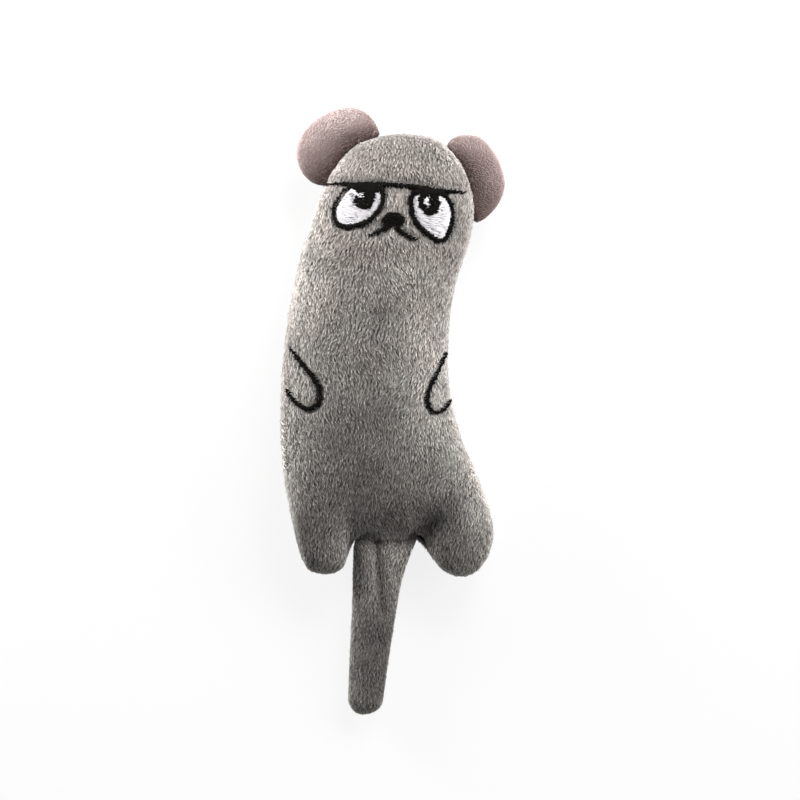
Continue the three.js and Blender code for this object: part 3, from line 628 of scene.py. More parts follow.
def panel_net(edge, spacing):
    """A panel cut to an outline: its points, edge first, and its triangles, facing +z."""
    rows = [edge]
    for share in (0.25, 0.7, 1.3):
        ring = inset(edge, share * spacing)
        rows.append(ring[inside(ring, edge) & (off_line(ring, edge)[0] > 0.85 * share * spacing)])
    low, high = edge.min(0), edge.max(0)
    x = np.arange(low[0], high[0], spacing)
    y = np.arange(low[1], high[1], spacing * math.sqrt(0.75))
    gx, gy = np.meshgrid(x, y, indexing="ij")
    gx = gx + spacing / 2 * (np.arange(len(y)) % 2)
    grid = np.stack([gx.ravel(), gy.ravel()], 1)
    grid = grid[inside(grid, edge)]
    rows.append(grid[off_line(grid, edge)[0] > 1.9 * spacing])
    points = np.vstack(rows)
    count = len(edge)
    ring_edges = [(i, (i + 1) % count) for i in range(count)]
    cut = geometry.delaunay_2d_cdt([Vector(p) for p in points], ring_edges, [], 1, 1e-5)
    points = np.array([tuple(p) for p in cut[0]])
    faces = np.array(cut[2])
    a, b, c = (points[faces[:, k]] for k in range(3))
    turned = (b - a)[:, 0] * (c - a)[:, 1] - (b - a)[:, 1] * (c - a)[:, 0] < 0
    faces[turned] = faces[turned][:, ::-1]
    return points, faces, count


def new_mesh(name, points, faces):
    """A mesh in the frame from pattern points and an array or a list of faces."""
    mesh = bpy.data.meshes.new(name)
    mesh.from_pydata([tuple(p) for p in place(points)], [], [tuple(int(i) for i in f) for f in faces])
    mesh.update()
    return mesh


def new_object(name, mesh, *finishes):
    piece = bpy.data.objects.new(name, mesh)
    bpy.context.scene.collection.objects.link(piece)
    for finish in finishes:
        mesh.materials.append(finish)
    return piece


def shade_smooth(piece):
    piece.data.polygons.foreach_set("use_smooth", np.ones(len(piece.data.polygons), bool))


def bake_modifiers(piece):
    """Turns a piece's modifiers into its mesh."""
    shown = piece.evaluated_get(bpy.context.evaluated_depsgraph_get())
    mesh = bpy.data.meshes.new_from_object(shown)
    piece.modifiers.clear()
    piece.data = mesh


def pattern_points(mesh):
    """A mesh's points in pattern millimetres."""
    points = np.empty(len(mesh.vertices) * 3)
    mesh.vertices.foreach_get("co", points)
    return (points.reshape(-1, 3) - ORIGIN) / MM


def swollen(points, faces, held, plush):
    """The points of a closed skin after stuffing has swelled it by cloth simulation, with its seam held."""
    scale = 10.0
    mesh = bpy.data.meshes.new("swelling")
    mesh.from_pydata([tuple(p) for p in points * MM * scale], [], [tuple(int(i) for i in f) for f in faces])
    skin = new_object("swelling", mesh)
    skin.vertex_groups.new(name="seam").add([int(i) for i in held], 1.0, "REPLACE")
    cloth = skin.modifiers.new("swelling", "CLOTH")
    for name, value in KNIT.items():
        setattr(cloth.settings, name, value)
    cloth.settings.use_pressure = True
    cloth.settings.uniform_pressure_force = plush.pressure
    cloth.settings.vertex_group_mass = "seam"
    cloth.settings.effector_weights.gravity = 0
    cloth.collision_settings.use_collision = False
    cloth.point_cache.frame_start = 1
    cloth.point_cache.frame_end = plush.swell_frames
    for step in range(1, plush.swell_frames + 1):
        bpy.context.scene.frame_set(step)
    shown = skin.evaluated_get(bpy.context.evaluated_depsgraph_get())
    moved = np.empty(len(points) * 3)
    shown.data.vertices.foreach_get("co", moved)
    moved = moved.reshape(-1, 3) / scale / MM - points
    bpy.context.scene.frame_set(1)
    bpy.data.objects.remove(skin)
    bpy.data.meshes.remove(mesh)
    far = np.linalg.norm(moved, axis=1, keepdims=True)
    limit = plush.swell_cap / MM
    return points + moved * np.minimum(1, limit / np.maximum(far, 1e-9))


def stuffed(edge, spacing, front_height, back_height, plush):
    """Two panels sewn along an outline and stuffed: points, front faces, back faces."""
    flat, faces, seam = panel_net(edge, spacing)
    room = room_inside(edge)(flat)
    room[:seam] = 0
    front = np.column_stack([flat, front_height(room, flat)])
    back = np.column_stack([flat, back_height(room, flat)])
    points = np.vstack([front, back[seam:]])
    behind = np.where(faces < seam, faces, faces + len(flat) - seam)[:, ::-1]
    points = swollen(points, np.vstack([faces, behind]), range(seam), plush)
    return points, faces, behind


def smooth_sheet(points, faces):
    """One panel of a stuffed skin, made finer: points, triangles and normals."""
    used, numbered = np.unique(faces, return_inverse=True)
    sheet = new_object("sheet", new_mesh("sheet", points[used], numbered.reshape(faces.shape)))
    finer = sheet.modifiers.new("finer", "SUBSURF")
    finer.levels = 1
    bake_modifiers(sheet)
    result = read_sheet(sheet.data)
    bpy.data.objects.remove(sheet)
    return result


def read_sheet(mesh):
    """A mesh as a sheet: its points in pattern millimetres, triangles, normals and faces."""
    mesh.calc_loop_triangles()
    triangles = np.empty(len(mesh.loop_triangles) * 3, np.int32)
    mesh.loop_triangles.foreach_get("vertices", triangles)
    normals = np.empty(len(mesh.vertices) * 3)
    mesh.vertices.foreach_get("normal", normals)
    return {
        "points": pattern_points(mesh),
        "triangles": triangles.reshape(-1, 3),
        "normals": normals.reshape(-1, 3),
        "faces": [tuple(p.vertices) for p in mesh.polygons],
    }


def pressed(sheet, creases):
    """Presses creases into a sheet, along its normals."""
    step = 0.6
    depth = np.zeros(len(sheet["points"]))
    for path, depths, width in creases:
        line = spline(path, step, False)
        far, share = off_line(sheet["points"][:, :2], line, False)
        deep = np.interp(share, np.linspace(0, 1, len(depths)), depths)
        depth = np.maximum(depth, deep * np.exp(-((far / width) ** 2)))
    sheet["points"] = sheet["points"] - sheet["normals"] * depth[:, None]


def sew_panel(name, sheet, finish, thickness):
    """A panel's cloth as a closed shell, and the sheet that its pile grows on."""
    cloth = new_object(name, new_mesh(name, sheet["points"], sheet["faces"]), finish)
    made[name] = read_sheet(cloth.data)
    wall = cloth.modifiers.new("wall", "SOLIDIFY")
    wall.thickness = thickness
    wall.offset = -1
    bake_modifiers(cloth)
    shade_smooth(cloth)
    return cloth


def scatter(sheet, spacing, rng):
    """Points spread evenly over a sheet, with its normals there."""
    a, b, c = (sheet["points"][sheet["triangles"][:, k]] for k in range(3))
    area = np.linalg.norm(np.cross(b - a, c - a), axis=1) / 2
    tries_a_cell = 3
    count = int(tries_a_cell * area.sum() / spacing**2)
    pick = rng.choice(len(area), count, p=area / area.sum())
    u, v = np.sqrt(rng.random(count)), rng.random(count)
    shares = np.stack([1 - u, u * (1 - v), u * v], 1)[:, :, None]
    corners = sheet["triangles"][pick]
    points = (sheet["points"][corners] * shares).sum(1)
    normals = unit((sheet["normals"][corners] * shares).sum(1))
    cells = np.floor(points / spacing).astype(np.int64)
    keep = np.unique(cells, axis=0, return_index=True)[1]
    return points[keep], normals[keep]


# A tuft has three corners at its root, three at its waist and one at its tip.
TUFT_CORNERS = 7
WAIST = 0.55
TUFT_FACES = np.array((
    (0, 2, 1), (0, 1, 4), (0, 4, 3), (1, 2, 5), (1, 5, 4),
    (2, 0, 3), (2, 3, 5), (3, 4, 6), (4, 5, 6), (5, 3, 6),
))
TUFT_ALONG = np.array((0, 0, 0, WAIST, WAIST, WAIST, 1))
TUFT_LEANS = np.array(((-1, -0.3), (1, -0.3), (0, -0.3), (-1, 0), (1, 0), (0, 0), (0, 0.6)))
TUFT_LEVELS = np.array((0, 0, 0, 1, 1, 1, 2))
TUFT_ACROSS = np.array((0.15, 0.85, 0.5, 0.2, 0.8, 0.5, 0.5))
TUFT_ROUNDNESS = 0.8
# A tuft's ridge at its root and its waist, and its width at its waist, as shares of its width at its root.
ROOT_RIDGE, WAIST_RIDGE, WAIST_WIDTH = 1.2, 0.9, 0.8
# How far tufts stay above the floor.
FLOOR_CLEAR = 0.03
# How far tufts lean, and how little and how much they may.
LEAN, LEAST_LEAN, MOST_LEAN = 0.36, 0.12, 0.8
# How deep a root sinks in, how far a tip droops, and how high a tuft stands at least.
ROOT_DEPTH, DROOP, LEAST_RISE = 0.12, 0.45, 0.1
# Locks of tufts that lie together: how wide they are and how far they reach.
LOCK_PITCH, LOCK_REACH = 0.95, 0.5
# How far roots and tips keep from stitches, and how a tuft that meets one is cut back, in shares.
ROOT_CLEAR, TIP_CLEAR = 0.3, 0.4
CUT_BACK, LEAST_LENGTH = 0.2, 0.3
# The way that loose tufts hang.
HANGING = (0, -1, -0.12)


def tuft_mesh(name, spine, facing, width, tone):
    """A mesh of tufts, each a small bent three-sided spike, with its own cell in the bake map.

    spine holds each tuft's root, waist and tip, and facing the way that the cloth faces there.
    """
    root, waist, tip = (spine[:, k] for k in range(3))
    ahead = unit(tip - root)
    side = unit(np.cross(facing[:, 1], ahead))
    wide = width[:, None] / 2
    points = np.stack(
        [
            root - side * wide, root + side * wide, root + facing[:, 0] * wide * ROOT_RIDGE,
            waist - side * wide * WAIST_WIDTH, waist + side * wide * WAIST_WIDTH,
            waist + facing[:, 1] * wide * WAIST_RIDGE, tip,
        ],
        1,
    )
    points[:, :, 2] = np.maximum(points[:, :, 2], FLOOR_Z + FLOOR_CLEAR)
    count = len(spine)
    faces = (TUFT_FACES[None] + TUFT_CORNERS * np.arange(count)[:, None, None]).reshape(-1)
    mesh = bpy.data.meshes.new(name)
    mesh.vertices.add(count * TUFT_CORNERS)
    mesh.vertices.foreach_set("co", place(points).reshape(-1))
    mesh.loops.add(len(faces))
    mesh.loops.foreach_set("vertex_index", faces.astype(np.int32))
    mesh.polygons.add(len(faces) // 3)
    mesh.polygons.foreach_set("loop_start", np.arange(0, len(faces), 3, dtype=np.int32))
    mesh.update(calc_edges=True)
    for kind, values in (("along", np.tile(TUFT_ALONG, count)), ("tone", np.repeat(tone, TUFT_CORNERS))):
        mesh.attributes.new(kind, "FLOAT", "POINT").data.foreach_set("value", values.astype(np.float32))
    cells = math.ceil(math.sqrt(count))
    corner = np.stack([np.arange(count) % cells, np.arange(count) // cells], 1)[:, None]
    margin = 0.12
    spot = np.stack([TUFT_ACROSS, margin + (1 - 2 * margin) * TUFT_ALONG], 1)[None]
    where = ((corner + spot) / cells).reshape(-1, 2)[faces]
    layer = mesh.uv_layers.new(name="OFBake")
    layer.uv.foreach_set("vector", where.astype(np.float32).reshape(-1))
    mesh.polygons.foreach_set("use_smooth", np.ones(len(mesh.polygons), bool))
    lean = TUFT_LEANS[None, :, :1] * side[:, None] + TUFT_LEANS[None, :, 1:] * ahead[:, None]
    soft = facing[:, TUFT_LEVELS] + TUFT_ROUNDNESS * lean
    mesh.normals_split_custom_set_from_vertices(unit(soft).reshape(-1, 3).tolist())
    return mesh


def search_tree(points, triangles):
    return BVHTree.FromPolygons(points.tolist(), triangles.tolist())


class Cloth:
    """Sheets of cloth, asked for their nearest place to a point."""

    def __init__(self, sheets):
        starts = np.cumsum([0] + [len(sheet["points"]) for sheet in sheets])
        self.triangles = np.vstack([sheet["triangles"] + start for sheet, start in zip(sheets, starts)])
        self.normals = np.vstack([sheet["normals"] for sheet in sheets])
        self.tree = search_tree(np.vstack([sheet["points"] for sheet in sheets]), self.triangles)

    def nearest(self, spots):
        """The nearest places on the cloth, and which way it faces there."""
        found = [self.tree.find_nearest(spot) for spot in spots.tolist()]
        places = np.array([tuple(hit[0]) for hit in found])
        corners = self.triangles[[hit[2] for hit in found]]
        return places, unit(self.normals[corners].sum(1))


def grow_pile(
    name, sheets, heading, finish, seed, length, width, spacing,
    part=None, bare=None, shade=None, around=None, grain=1.0, hang=None,
):
    """Pile over sheets of cloth, combed along heading with waves, left short beside bare places.

    part picks the roots, shade gives their tone, grain is how uneven their tone is, and hang is how far tufts
    grow longer and hang free of the cloth.
    """
    rng = np.random.default_rng(seed)
    spots = [scatter(sheet, spacing, rng) for sheet in sheets]
    roots = np.vstack([s[0] for s in spots])
    normals = np.vstack([s[1] for s in spots])
    if part is not None:
        kept = part(roots)
        roots, normals = roots[kept], normals[kept]
    to = heading(roots, normals)
    flow = unit(to - normals * (to * normals).sum(1, keepdims=True))
    # Each unevenness adds waves of a length in millimetres, with a seed of their own, and chance.
    sweep = 0.3 * ripple(roots, 18, 201) + 0.16 * ripple(roots, 6, 202) + rng.normal(0, 0.2, len(roots))
    flow = np.cos(sweep)[:, None] * flow + np.sin(sweep)[:, None] * np.cross(normals, flow)
    lock = locks(roots, LOCK_PITCH, LOCK_REACH, 205)
    stir = 0.05 * ripple(roots, 4, 203) + 0.08 * lock + rng.normal(0, 0.08, len(roots))
    lean = np.clip(LEAN + min(1, 2 * grain) * stir, LEAST_LEAN, MOST_LEAN)
    long = length * np.clip(1 + 0.12 * ripple(roots, 6, 204) + rng.normal(0, 0.14, len(roots)), 0.5, 1.5)
    loose = np.zeros(len(roots)) if hang is None else hang(roots)
    long = long * (1 + loose)
    flow = unit(flow + loose[:, None] * (np.array(HANGING) - flow))
    wide = width * rng.uniform(0.7, 1.25, len(roots))
    # The locks' share of the tone is painted light and shade along each lock; the rest differs at random.
    uneven = 0.45 * lock + 0.08 * ripple(roots, 9, 206) + rng.normal(0, 0.3, len(roots))
    tone = np.clip(1 + grain * uneven, 0.2, 2)
    # shade brings the painted light and shade into the tone.
    if shade is not None:
        tone = tone * shade(roots)
    if bare is not None:
        kept = np.array([bare.find(p)[2] for p in roots]) > ROOT_CLEAR
        for share in (0.95, 0.7, 0.45):
            reach = roots + long[:, None] * flow * share
            met = np.array([bare.find(p)[2] for p in reach]) < TIP_CLEAR
            long = np.where(met, long * max(share - CUT_BACK, LEAST_LENGTH), long)
        roots, normals, flow, long, lean, wide, tone, loose = (
            x[kept] for x in (roots, normals, flow, long, lean, wide, tone, loose)
        )
    cloth = Cloth(around or sheets)
    spine, facing = [roots - normals * ROOT_DEPTH], [normals]
    rise = WAIST * long * np.sin(lean)
    for share, height in ((WAIST, rise), (1.0, rise + (1 - WAIST) * long * np.sin(lean - DROOP))):
        reach = roots + flow * (share * long * np.cos(lean))[:, None]
        spot, face = cloth.nearest(reach)
        spot = spot + loose[:, None] * (reach - spot)
        spine.append(spot + face * np.maximum(height, LEAST_RISE)[:, None])
        facing.append(face)
    mesh = tuft_mesh(name, np.stack(spine, 1), np.stack(facing, 1), wide, tone)
    return new_object(name, mesh, finish)


def nap_and_painted_light_tone(roots):
    """The tone that the patches of nap and of painted light and shade give to the pile."""
    x, y = roots[:, 0], roots[:, 1]
    return 1 + sum(
        much * np.exp(-(((x - a) / wide) ** 2) - ((y - b) / high) ** 2) for a, b, wide, high, much in NAP_AND_PAINTED_LIGHT
    )


class Needle:
    """Lays stitches on the front panel and keeps where they went."""

    def __init__(self, sheet, plush, stage, seed):
        self.tree = search_tree(sheet["points"], sheet["triangles"])
        self.radius = plush.thread / MM / 2
        self.rng = np.random.default_rng(seed)
        self.middle = np.array((stage.view_x, stage.view_y)) / MM
        self.distance = stage.lens * stage.view_width / MM / SENSOR_WIDTH
        self.sewn = []

    def height(self, spot):
        hit = self.tree.ray_cast(Vector((spot[0], spot[1], ABOVE_ALL)), Vector((0, 0, -1)))
        if hit[0] is None:
            hit = self.tree.find_nearest(Vector((spot[0], spot[1], 0)))
        return np.array(hit[0]), np.array(hit[1])

    def lay(self, stitches, low, high, knots=6):
        """Stitches, pairs of flat points, as lines that dip into the cloth at their ends."""
        share = np.linspace(0, 1, knots)
        arch = np.sqrt(np.maximum(0, 1 - (2 * share - 1) ** 4))
        lines = []
        for a, b in stitches:
            line = []
            for s, h in zip(share, arch):
                flat = a * (1 - s) + b * s
                ground, normal = self.height(flat)
                flat = self.middle + (flat - self.middle) * (1 - ground[2] / self.distance)
                ground, normal = self.height(flat)
                line.append(ground + normal * (low + (high - low) * h))
            lines.append(line)
        lines = np.array(lines)
        self.sewn.append(lines.reshape(-1, 3))
        return lines

    def satin(self, path, widths, pitch=0.22, slant=0.5, jag=0.26, closed=False):
        """Stitches side by side across a stroke."""
        line = spline(path, pitch, closed)
        ahead = unit(np.gradient(line, axis=0))
        if closed:
            ahead = unit(np.roll(line, -1, 0) - np.roll(line, 1, 0))
        widths = tuple(widths) + (tuple(widths[:1]) if closed else ())
        wide = np.interp(np.linspace(0, 1, len(line)), np.linspace(0, 1, len(widths)), widths) / 2
        across = np.stack([-ahead[:, 1], ahead[:, 0]], 1) * math.cos(slant) + ahead * math.sin(slant)
        ends = [
            line + sign * across * (wide / math.cos(slant) + self.rng.normal(0, jag, len(line)))[:, None]
            for sign in (1, -1)
        ]
        return np.stack(ends, 1)

    def fill(self, outline, pitch, angle, length=3.2, jag=0.18):
        """Rows of stitches that fill an outline."""
        step, shortest, overlap, wobble = 0.25, 0.5, 0.06, 0.03
        turn = np.array(((math.cos(angle), -math.sin(angle)), (math.sin(angle), math.cos(angle))))
        edge = spline(outline, step, True) @ turn
        stitches = []
        for y in np.arange(edge[:, 1].min() + pitch / 2, edge[:, 1].max(), pitch):
            x0, y0 = edge.T
            x1, y1 = np.roll(edge, -1, 0).T
            cross = (y0 > y) != (y1 > y)
            cuts = np.sort(x0[cross] + (y - y0[cross]) * (x1[cross] - x0[cross]) / (y1[cross] - y0[cross]))
            for left, right in zip(cuts[::2], cuts[1::2]):
                left, right = left + self.rng.normal(0, jag), right + self.rng.normal(0, jag)
                stops = np.arange(left - self.rng.uniform(0, length), right, length)
                stops = stops[(stops > left + shortest) & (stops < right - shortest)]
                stops = np.concatenate([[left], stops, [right]])
                for s, e in zip(stops, stops[1:]):
                    rise = self.rng.normal(0, wobble, 2)
                    stitches.append(((s - overlap, y + rise[0]), (e + overlap, y + rise[1])))
        return np.array(stitches) @ turn.T


def ring_walls(rings, around):
    """Faces between rings of points, one ring after another."""
    k, j = np.meshgrid(np.arange(rings - 1) * around, np.arange(around), indexing="ij")
    n = (j + 1) % around
    return np.stack([k + j, k + around + j, k + around + n, k + n], -1).reshape(-1, 4)


def thread_shape(lines, radius, sides=6):
    """Round threads along lines: points and faces."""
    nearly_up = np.array((0.02, 0.03, 1.0))
    ahead = unit(np.gradient(lines, axis=1))
    side = unit(np.cross(ahead, nearly_up))
    top = np.cross(side, ahead)
    turn = 2 * math.pi * np.arange(sides) / sides
    count, knots = lines.shape[:2]
    taper = np.ones(knots)
    taper[[0, -1]] = 0.5
    ring = np.cos(turn)[:, None] * side[:, :, None] + np.sin(turn)[:, None] * top[:, :, None]
    points = (lines[:, :, None] + ring * radius * taper[None, :, None, None]).reshape(-1, 3)
    wall = ring_walls(knots, sides)
    start, end = list(range(sides)), [(knots - 1) * sides + i for i in reversed(range(sides))]
    faces = []
    for s in range(count):
        base = s * knots * sides
        faces.extend((wall + base).tolist())
        faces.append([i + base for i in start])
        faces.append([i + base for i in end])
    return points, faces


def sew_threads(name, batches, radius, finish, node, body="mouse_body"):
    """One piece of embroidery from batches of stitch lines."""
    points, faces = [], []
    for lines in batches:
        more, their = thread_shape(lines, radius)
        shift = sum(len(p) for p in points)
        points.append(more)
        faces.extend([[i + shift for i in f] for f in their])
    piece = new_object(name, new_mesh(name, np.vstack(points), faces), finish)
    shade_smooth(piece)
    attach(piece, body)
    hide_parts(node)


def ride_ear(piece, side):
    """Works out where an ear's fold would start and end, but bends nothing, and bakes the piece's place into
    its mesh.
    """
    joint = JOINTS[f"{side}_ear_flop"]
    hinge, axis = np.array(joint["pos_m"]), np.array(joint["axis"])
    outward = np.cross((0, 0, 1), axis)
    start, end = hinge - outward * EAR_FOLD[0] * MM, hinge + outward * EAR_FOLD[1] * MM
    tuple(start)
    tuple(end)
    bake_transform(piece)


class MOUSE_OT_stage(bpy.types.Operator):
    """Set the floor, the lights and the camera"""

    bl_idname = "mouse.stage"
    bl_label = "Stage"

    def execute(self, context):
        scene, stage, colours = context.scene, context.scene.mouse_stage, context.scene.mouse_colours
        scene.view_settings.view_transform = "Standard"
        world = bpy.data.worlds.new("studio")
        scene.world = world
        sky = Finish(world)
        seen = sky.seen()
        way = sky.node("ShaderNodeTexCoord", output="Generated")
        crownward, up = (sky.axis(way, name) for name in ("Y", "Z"))
        walls = (crownward + 1) * (stage.crown_wall / 2) + (1 - crownward) * (stage.foot_wall / 2)
        wall = (1 - up) * (1 - up) * walls + stage.ceiling
        strength = seen * (1 - wall) + wall
        light = sky.node("ShaderNodeBackground", None, {"Color": (1, 1, 1, 1), "Strength": strength})
        sky.node("ShaderNodeOutputWorld", None, {"Surface": light})

        finish = Finish(bpy.data.materials.new("studio_floor"))
        grain = finish.noise(30.0, 3.0)
        paint = finish.mix(grain * 0.04, tuple(colours.floor), srgb(240, 240, 240))
        matt = {"Base Color": paint, "Roughness": 0.9, "Specular IOR Level": 0.1}
        lit = finish.node("ShaderNodeBsdfPrincipled", None, matt)
        glow = finish.node("ShaderNodeEmission", None, {"Color": (1, 1, 1, 1), "Strength": 1.0})
        across, along = (finish.axis(finish.places(), name) for name in ("X", "Y"))
        blown = (across * across + along * along) * WHITE_OUTWARDS + WHITE_IN_MIDDLE
        surface = finish.node("ShaderNodeMixShader", None, {0: finish.seen() * blown, 1: lit, 2: glow})
        finish.node("ShaderNodeOutputMaterial", None, {"Surface": surface})
        mesh = bpy.data.meshes.new("floor")
        half = FLOOR_WIDTH / 2
        corners = [(-half, -half, 0), (half, -half, 0), (half, half, 0), (-half, half, 0)]
        mesh.from_pydata(corners, [], [(0, 1, 2, 3)])
        floor = new_object("floor", mesh, finish.owner)

        middle = place((stage.view_x / MM, stage.view_y / MM, 0))
        head = place((0, 52, 0))
        for name, target, offset, size, power, spread in (
            ("key", head, (0.11, 0.25, 0.225), 0.22, stage.key_power, 75),
            ("left_side", middle, (-0.32, 0.22, 0.05), 0.2, stage.left_power, 180),
            ("right_side", middle, (0.32, 0.12, 0.1), 0.3, stage.right_power, 180),
        ):
            self.area_light(name, target, offset, size, power, spread)

        camera = bpy.data.cameras.new("photo_view")
        camera.lens = stage.lens
        camera.sensor_width = SENSOR_WIDTH
        camera.clip_start = 0.01
        eye = bpy.data.objects.new("photo_view", camera)
        scene.collection.objects.link(eye)
        eye.location = middle + np.array((0, 0, stage.lens * stage.view_width / SENSOR_WIDTH))
        scene.camera = eye
        return {"FINISHED"}

    def area_light(self, name, target, offset, size, power, spread):
        lamp = bpy.data.lights.new(name, "AREA")
        lamp.size = size
        lamp.energy = power
        lamp.spread = math.radians(spread)
        holder = bpy.data.objects.new(name, lamp)
        bpy.context.scene.collection.objects.link(holder)
        holder.location = target + np.array(offset)
        holder.rotation_euler = (Vector(target) - holder.location).to_track_quat("-Z", "Y").to_euler()


class MOUSE_OT_body(bpy.types.Operator):
    """Cut, sew and stuff the front and back panels"""

    bl_idname = "mouse.body"
    bl_label = "Body panels"

    def execute(self, context):
        plush, colours = context.scene.mouse_plush, context.scene.mouse_colours
        edge = inset(spline(BODY_EDGE, BODY_SEAM_STEP, True), plush.pile_rise / MM)

        def front_height(room, flat):
            lumps = 0.02 * ripple(flat, 26, 11) + 0.006 * ripple(flat, 9, 12)
            lower = np.clip((SLUMP_FROM - flat[:, 1]) / SLUMP_RUN, 0, 1) ** SLUMP_CURVE
            over_tail = np.exp(-(((flat[:, 0] - TAIL_SLUMP_X) / TAIL_SLUMP_WIDTH) ** 4))
            slump = lower * (SLUMP + TAIL_SLUMP * over_tail)
            return FRONT_FULL * (1 - np.exp(-room / FRONT_SOFT)) * (1 + lumps) * (1 - slump)

        def back_height(room, flat):
            return -self.rested(BACK_FULL * (1 - np.exp(-room / BACK_SOFT)))

        points, front, back = stuffed(edge, BODY_STEP, front_height, back_height, plush)
        finish = backing_finish("grey_backing", tuple(colours.grey_root), tuple(colours.grey_tip))
        for name, faces, node in (("front_plush", front, "front_panel"), ("back_plush", back, "back_panel")):
            sheet = smooth_sheet(points, faces)
            if name == "front_plush":
                pressed(sheet, CREASES + self.embroidery_dents())
            else:
                lowest = FLOOR_Z + plush.pile_rise / MM * 0.7
                sheet["points"][:, 2] = np.maximum(sheet["points"][:, 2], lowest)
            cloth = sew_panel(name, sheet, finish, plush.cloth)
            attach(cloth, "mouse_body")
            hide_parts(node)
        return {"FINISHED"}

    def rested(self, depth):
        """Depth that eases out to where the back rests on the floor."""
        ease = 6.0
        depth = np.maximum(depth, 1e-6)
        return (depth**-ease + REST_DEPTH**-ease) ** (-1 / ease)

    def embroidery_dents(self):
        """Dents that the stitches pull into the cloth: their path, depth and width."""
        strokes = (BROW, LEFT_EYE, RIGHT_EYE, MOUTH_LEFT, MOUTH_RIGHT, LEFT_ARM, RIGHT_ARM, NOSE)
        depths = (0.6, 0.4, 0.4, 0.3, 0.3, 0.3, 0.3, 0.3)
        width = 1.2
        return tuple((path, (deep,) * len(path), width) for path, deep in zip(strokes, depths))


class MOUSE_OT_ears(bpy.types.Operator):
    """Cut, sew and stuff the two ears"""

    bl_idname = "mouse.ears"
    bl_label = "Ears"

    def execute(self, context):
        plush, colours = context.scene.mouse_plush, context.scene.mouse_colours
        finish = backing_finish("pink_backing", tuple(colours.pink_root), tuple(colours.pink_tip))

        def front_height(room, flat):
            return EAR_FULL * (1 - np.exp(-room / EAR_SOFT))

        def back_height(room, flat):
            return -front_height(room, flat)

        for side, outline in (("left", LEFT_EAR_EDGE), ("right", RIGHT_EAR_EDGE)):
            edge = inset(spline(outline, EAR_SEAM_STEP, True), EAR_INSET)
            points, front, back = stuffed(edge, EAR_STEP, front_height, back_height, plush)
            for face, faces in (("front", front), ("back", back)):
                sheet = smooth_sheet(points, faces)
                cloth = sew_panel(f"{side}_ear_{face}_plush", sheet, finish, plush.cloth)
                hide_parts(f"{side}_ear_{face}")
                ride_ear(cloth, side)
        return {"FINISHED"}


def tail_skin(shrunk, first=None):
    """The tail as a closed skin, shrunk inwards and pleated near its root: points and faces."""
    rows, end_rows, around, bulge = 56, 9, 56, 0.8
    tip_drift, least_thick = 0.6, 0.4
    root = TAIL_ROOT_Y
    stations = np.array(TAIL_STATIONS)
    share = np.linspace(stations[0, 0] if first is None else first, stations[-1, 0], rows)
    left, right, middle, thick = (np.interp(share, stations[:, 0], stations[:, k]) for k in range(1, 5))
    for values in (left, right, middle, thick):
        values[1:-1] = (values[:-2] + values[1:-1] * 2 + values[2:]) / 4
    y = root - share * TAIL_LENGTH
    tip = root - TAIL_LENGTH + shrunk
    round_end = np.linspace(0, 1, end_rows + 1)[1:] * math.pi / 2
    y = np.concatenate([y, y[-1] + (tip - y[-1]) * np.sin(round_end)])
    narrowing = np.concatenate([np.ones(rows), np.cos(round_end)])
    left, right, middle, thick = (
        np.concatenate([v, np.full(len(round_end), v[-1])]) for v in (left, right, middle, thick)
    )
    half = ((right - left) / 2 - shrunk) * narrowing
    centre = (left + right) / 2 - tip_drift * (1 - narrowing)
    thick = np.maximum(thick - shrunk, least_thick) * narrowing
    turn = 2 * math.pi * np.arange(around) / around
    wide = np.sign(np.cos(turn)) * np.abs(np.cos(turn)) ** bulge
    high = np.sign(np.sin(turn)) * np.abs(np.sin(turn)) ** bulge
    x = centre[:, None] + half[:, None] * wide
    z = middle[:, None] + thick[:, None] * high
    gone = np.clip((root - y) / PLEAT_LENGTH, 0, 1)[:, None]
    pleats = sum(
        deep * np.exp(-(((x - at - drift * gone) / across) ** 2)) for at, drift, across, deep in TAIL_PLEATS
    )
    z = z - pleats * (1 - gone) ** 0.7 * np.maximum(0, np.sin(turn)) * narrowing[:, None]
    count = len(y) - 1
    points = np.stack([x, np.repeat(y[:, None], around, 1), z], -1)[:-1].reshape(-1, 3)
    points = np.vstack([points, [centre[-1], y[-1], middle[-1]]])
    faces = np.roll(ring_walls(count, around)[:, ::-1], 1, 1).tolist()
    last = (count - 1) * around
    faces += [[last + j, last + (j + 1) % around, count * around] for j in range(around)]
    faces.append(list(reversed(range(around))))
    return points, faces


class MOUSE_OT_tail(bpy.types.Operator):
    """Make the tail's sleeve, pleated where it is sewn in"""

    bl_idname = "mouse.tail"
    bl_label = "Tail"

    def execute(self, context):
        plush = context.scene.mouse_plush
        mesh = new_mesh("tail_plush", *tail_skin(plush.pile_rise / MM))
        sleeve = new_object("tail_plush", mesh, bpy.data.materials["grey_backing"])
        made["tail_plush"] = read_sheet(mesh)
        shade_smooth(sleeve)
        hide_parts("tail_sleeve")
        ride_tail(sleeve)
        return {"FINISHED"}


def ride_tail(piece):
    """Works out where the tail's fold would start and end, but bends nothing, and bakes the piece's place
    into its mesh.
    """
    hinge = np.array(JOINTS["tail_lift"]["pos_m"])
    start, end = hinge + (0, TAIL_FOLD[0] * MM, 0), hinge - (0, TAIL_FOLD[1] * MM, 0)
    tuple(start)
    tuple(end)
    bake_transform(piece)


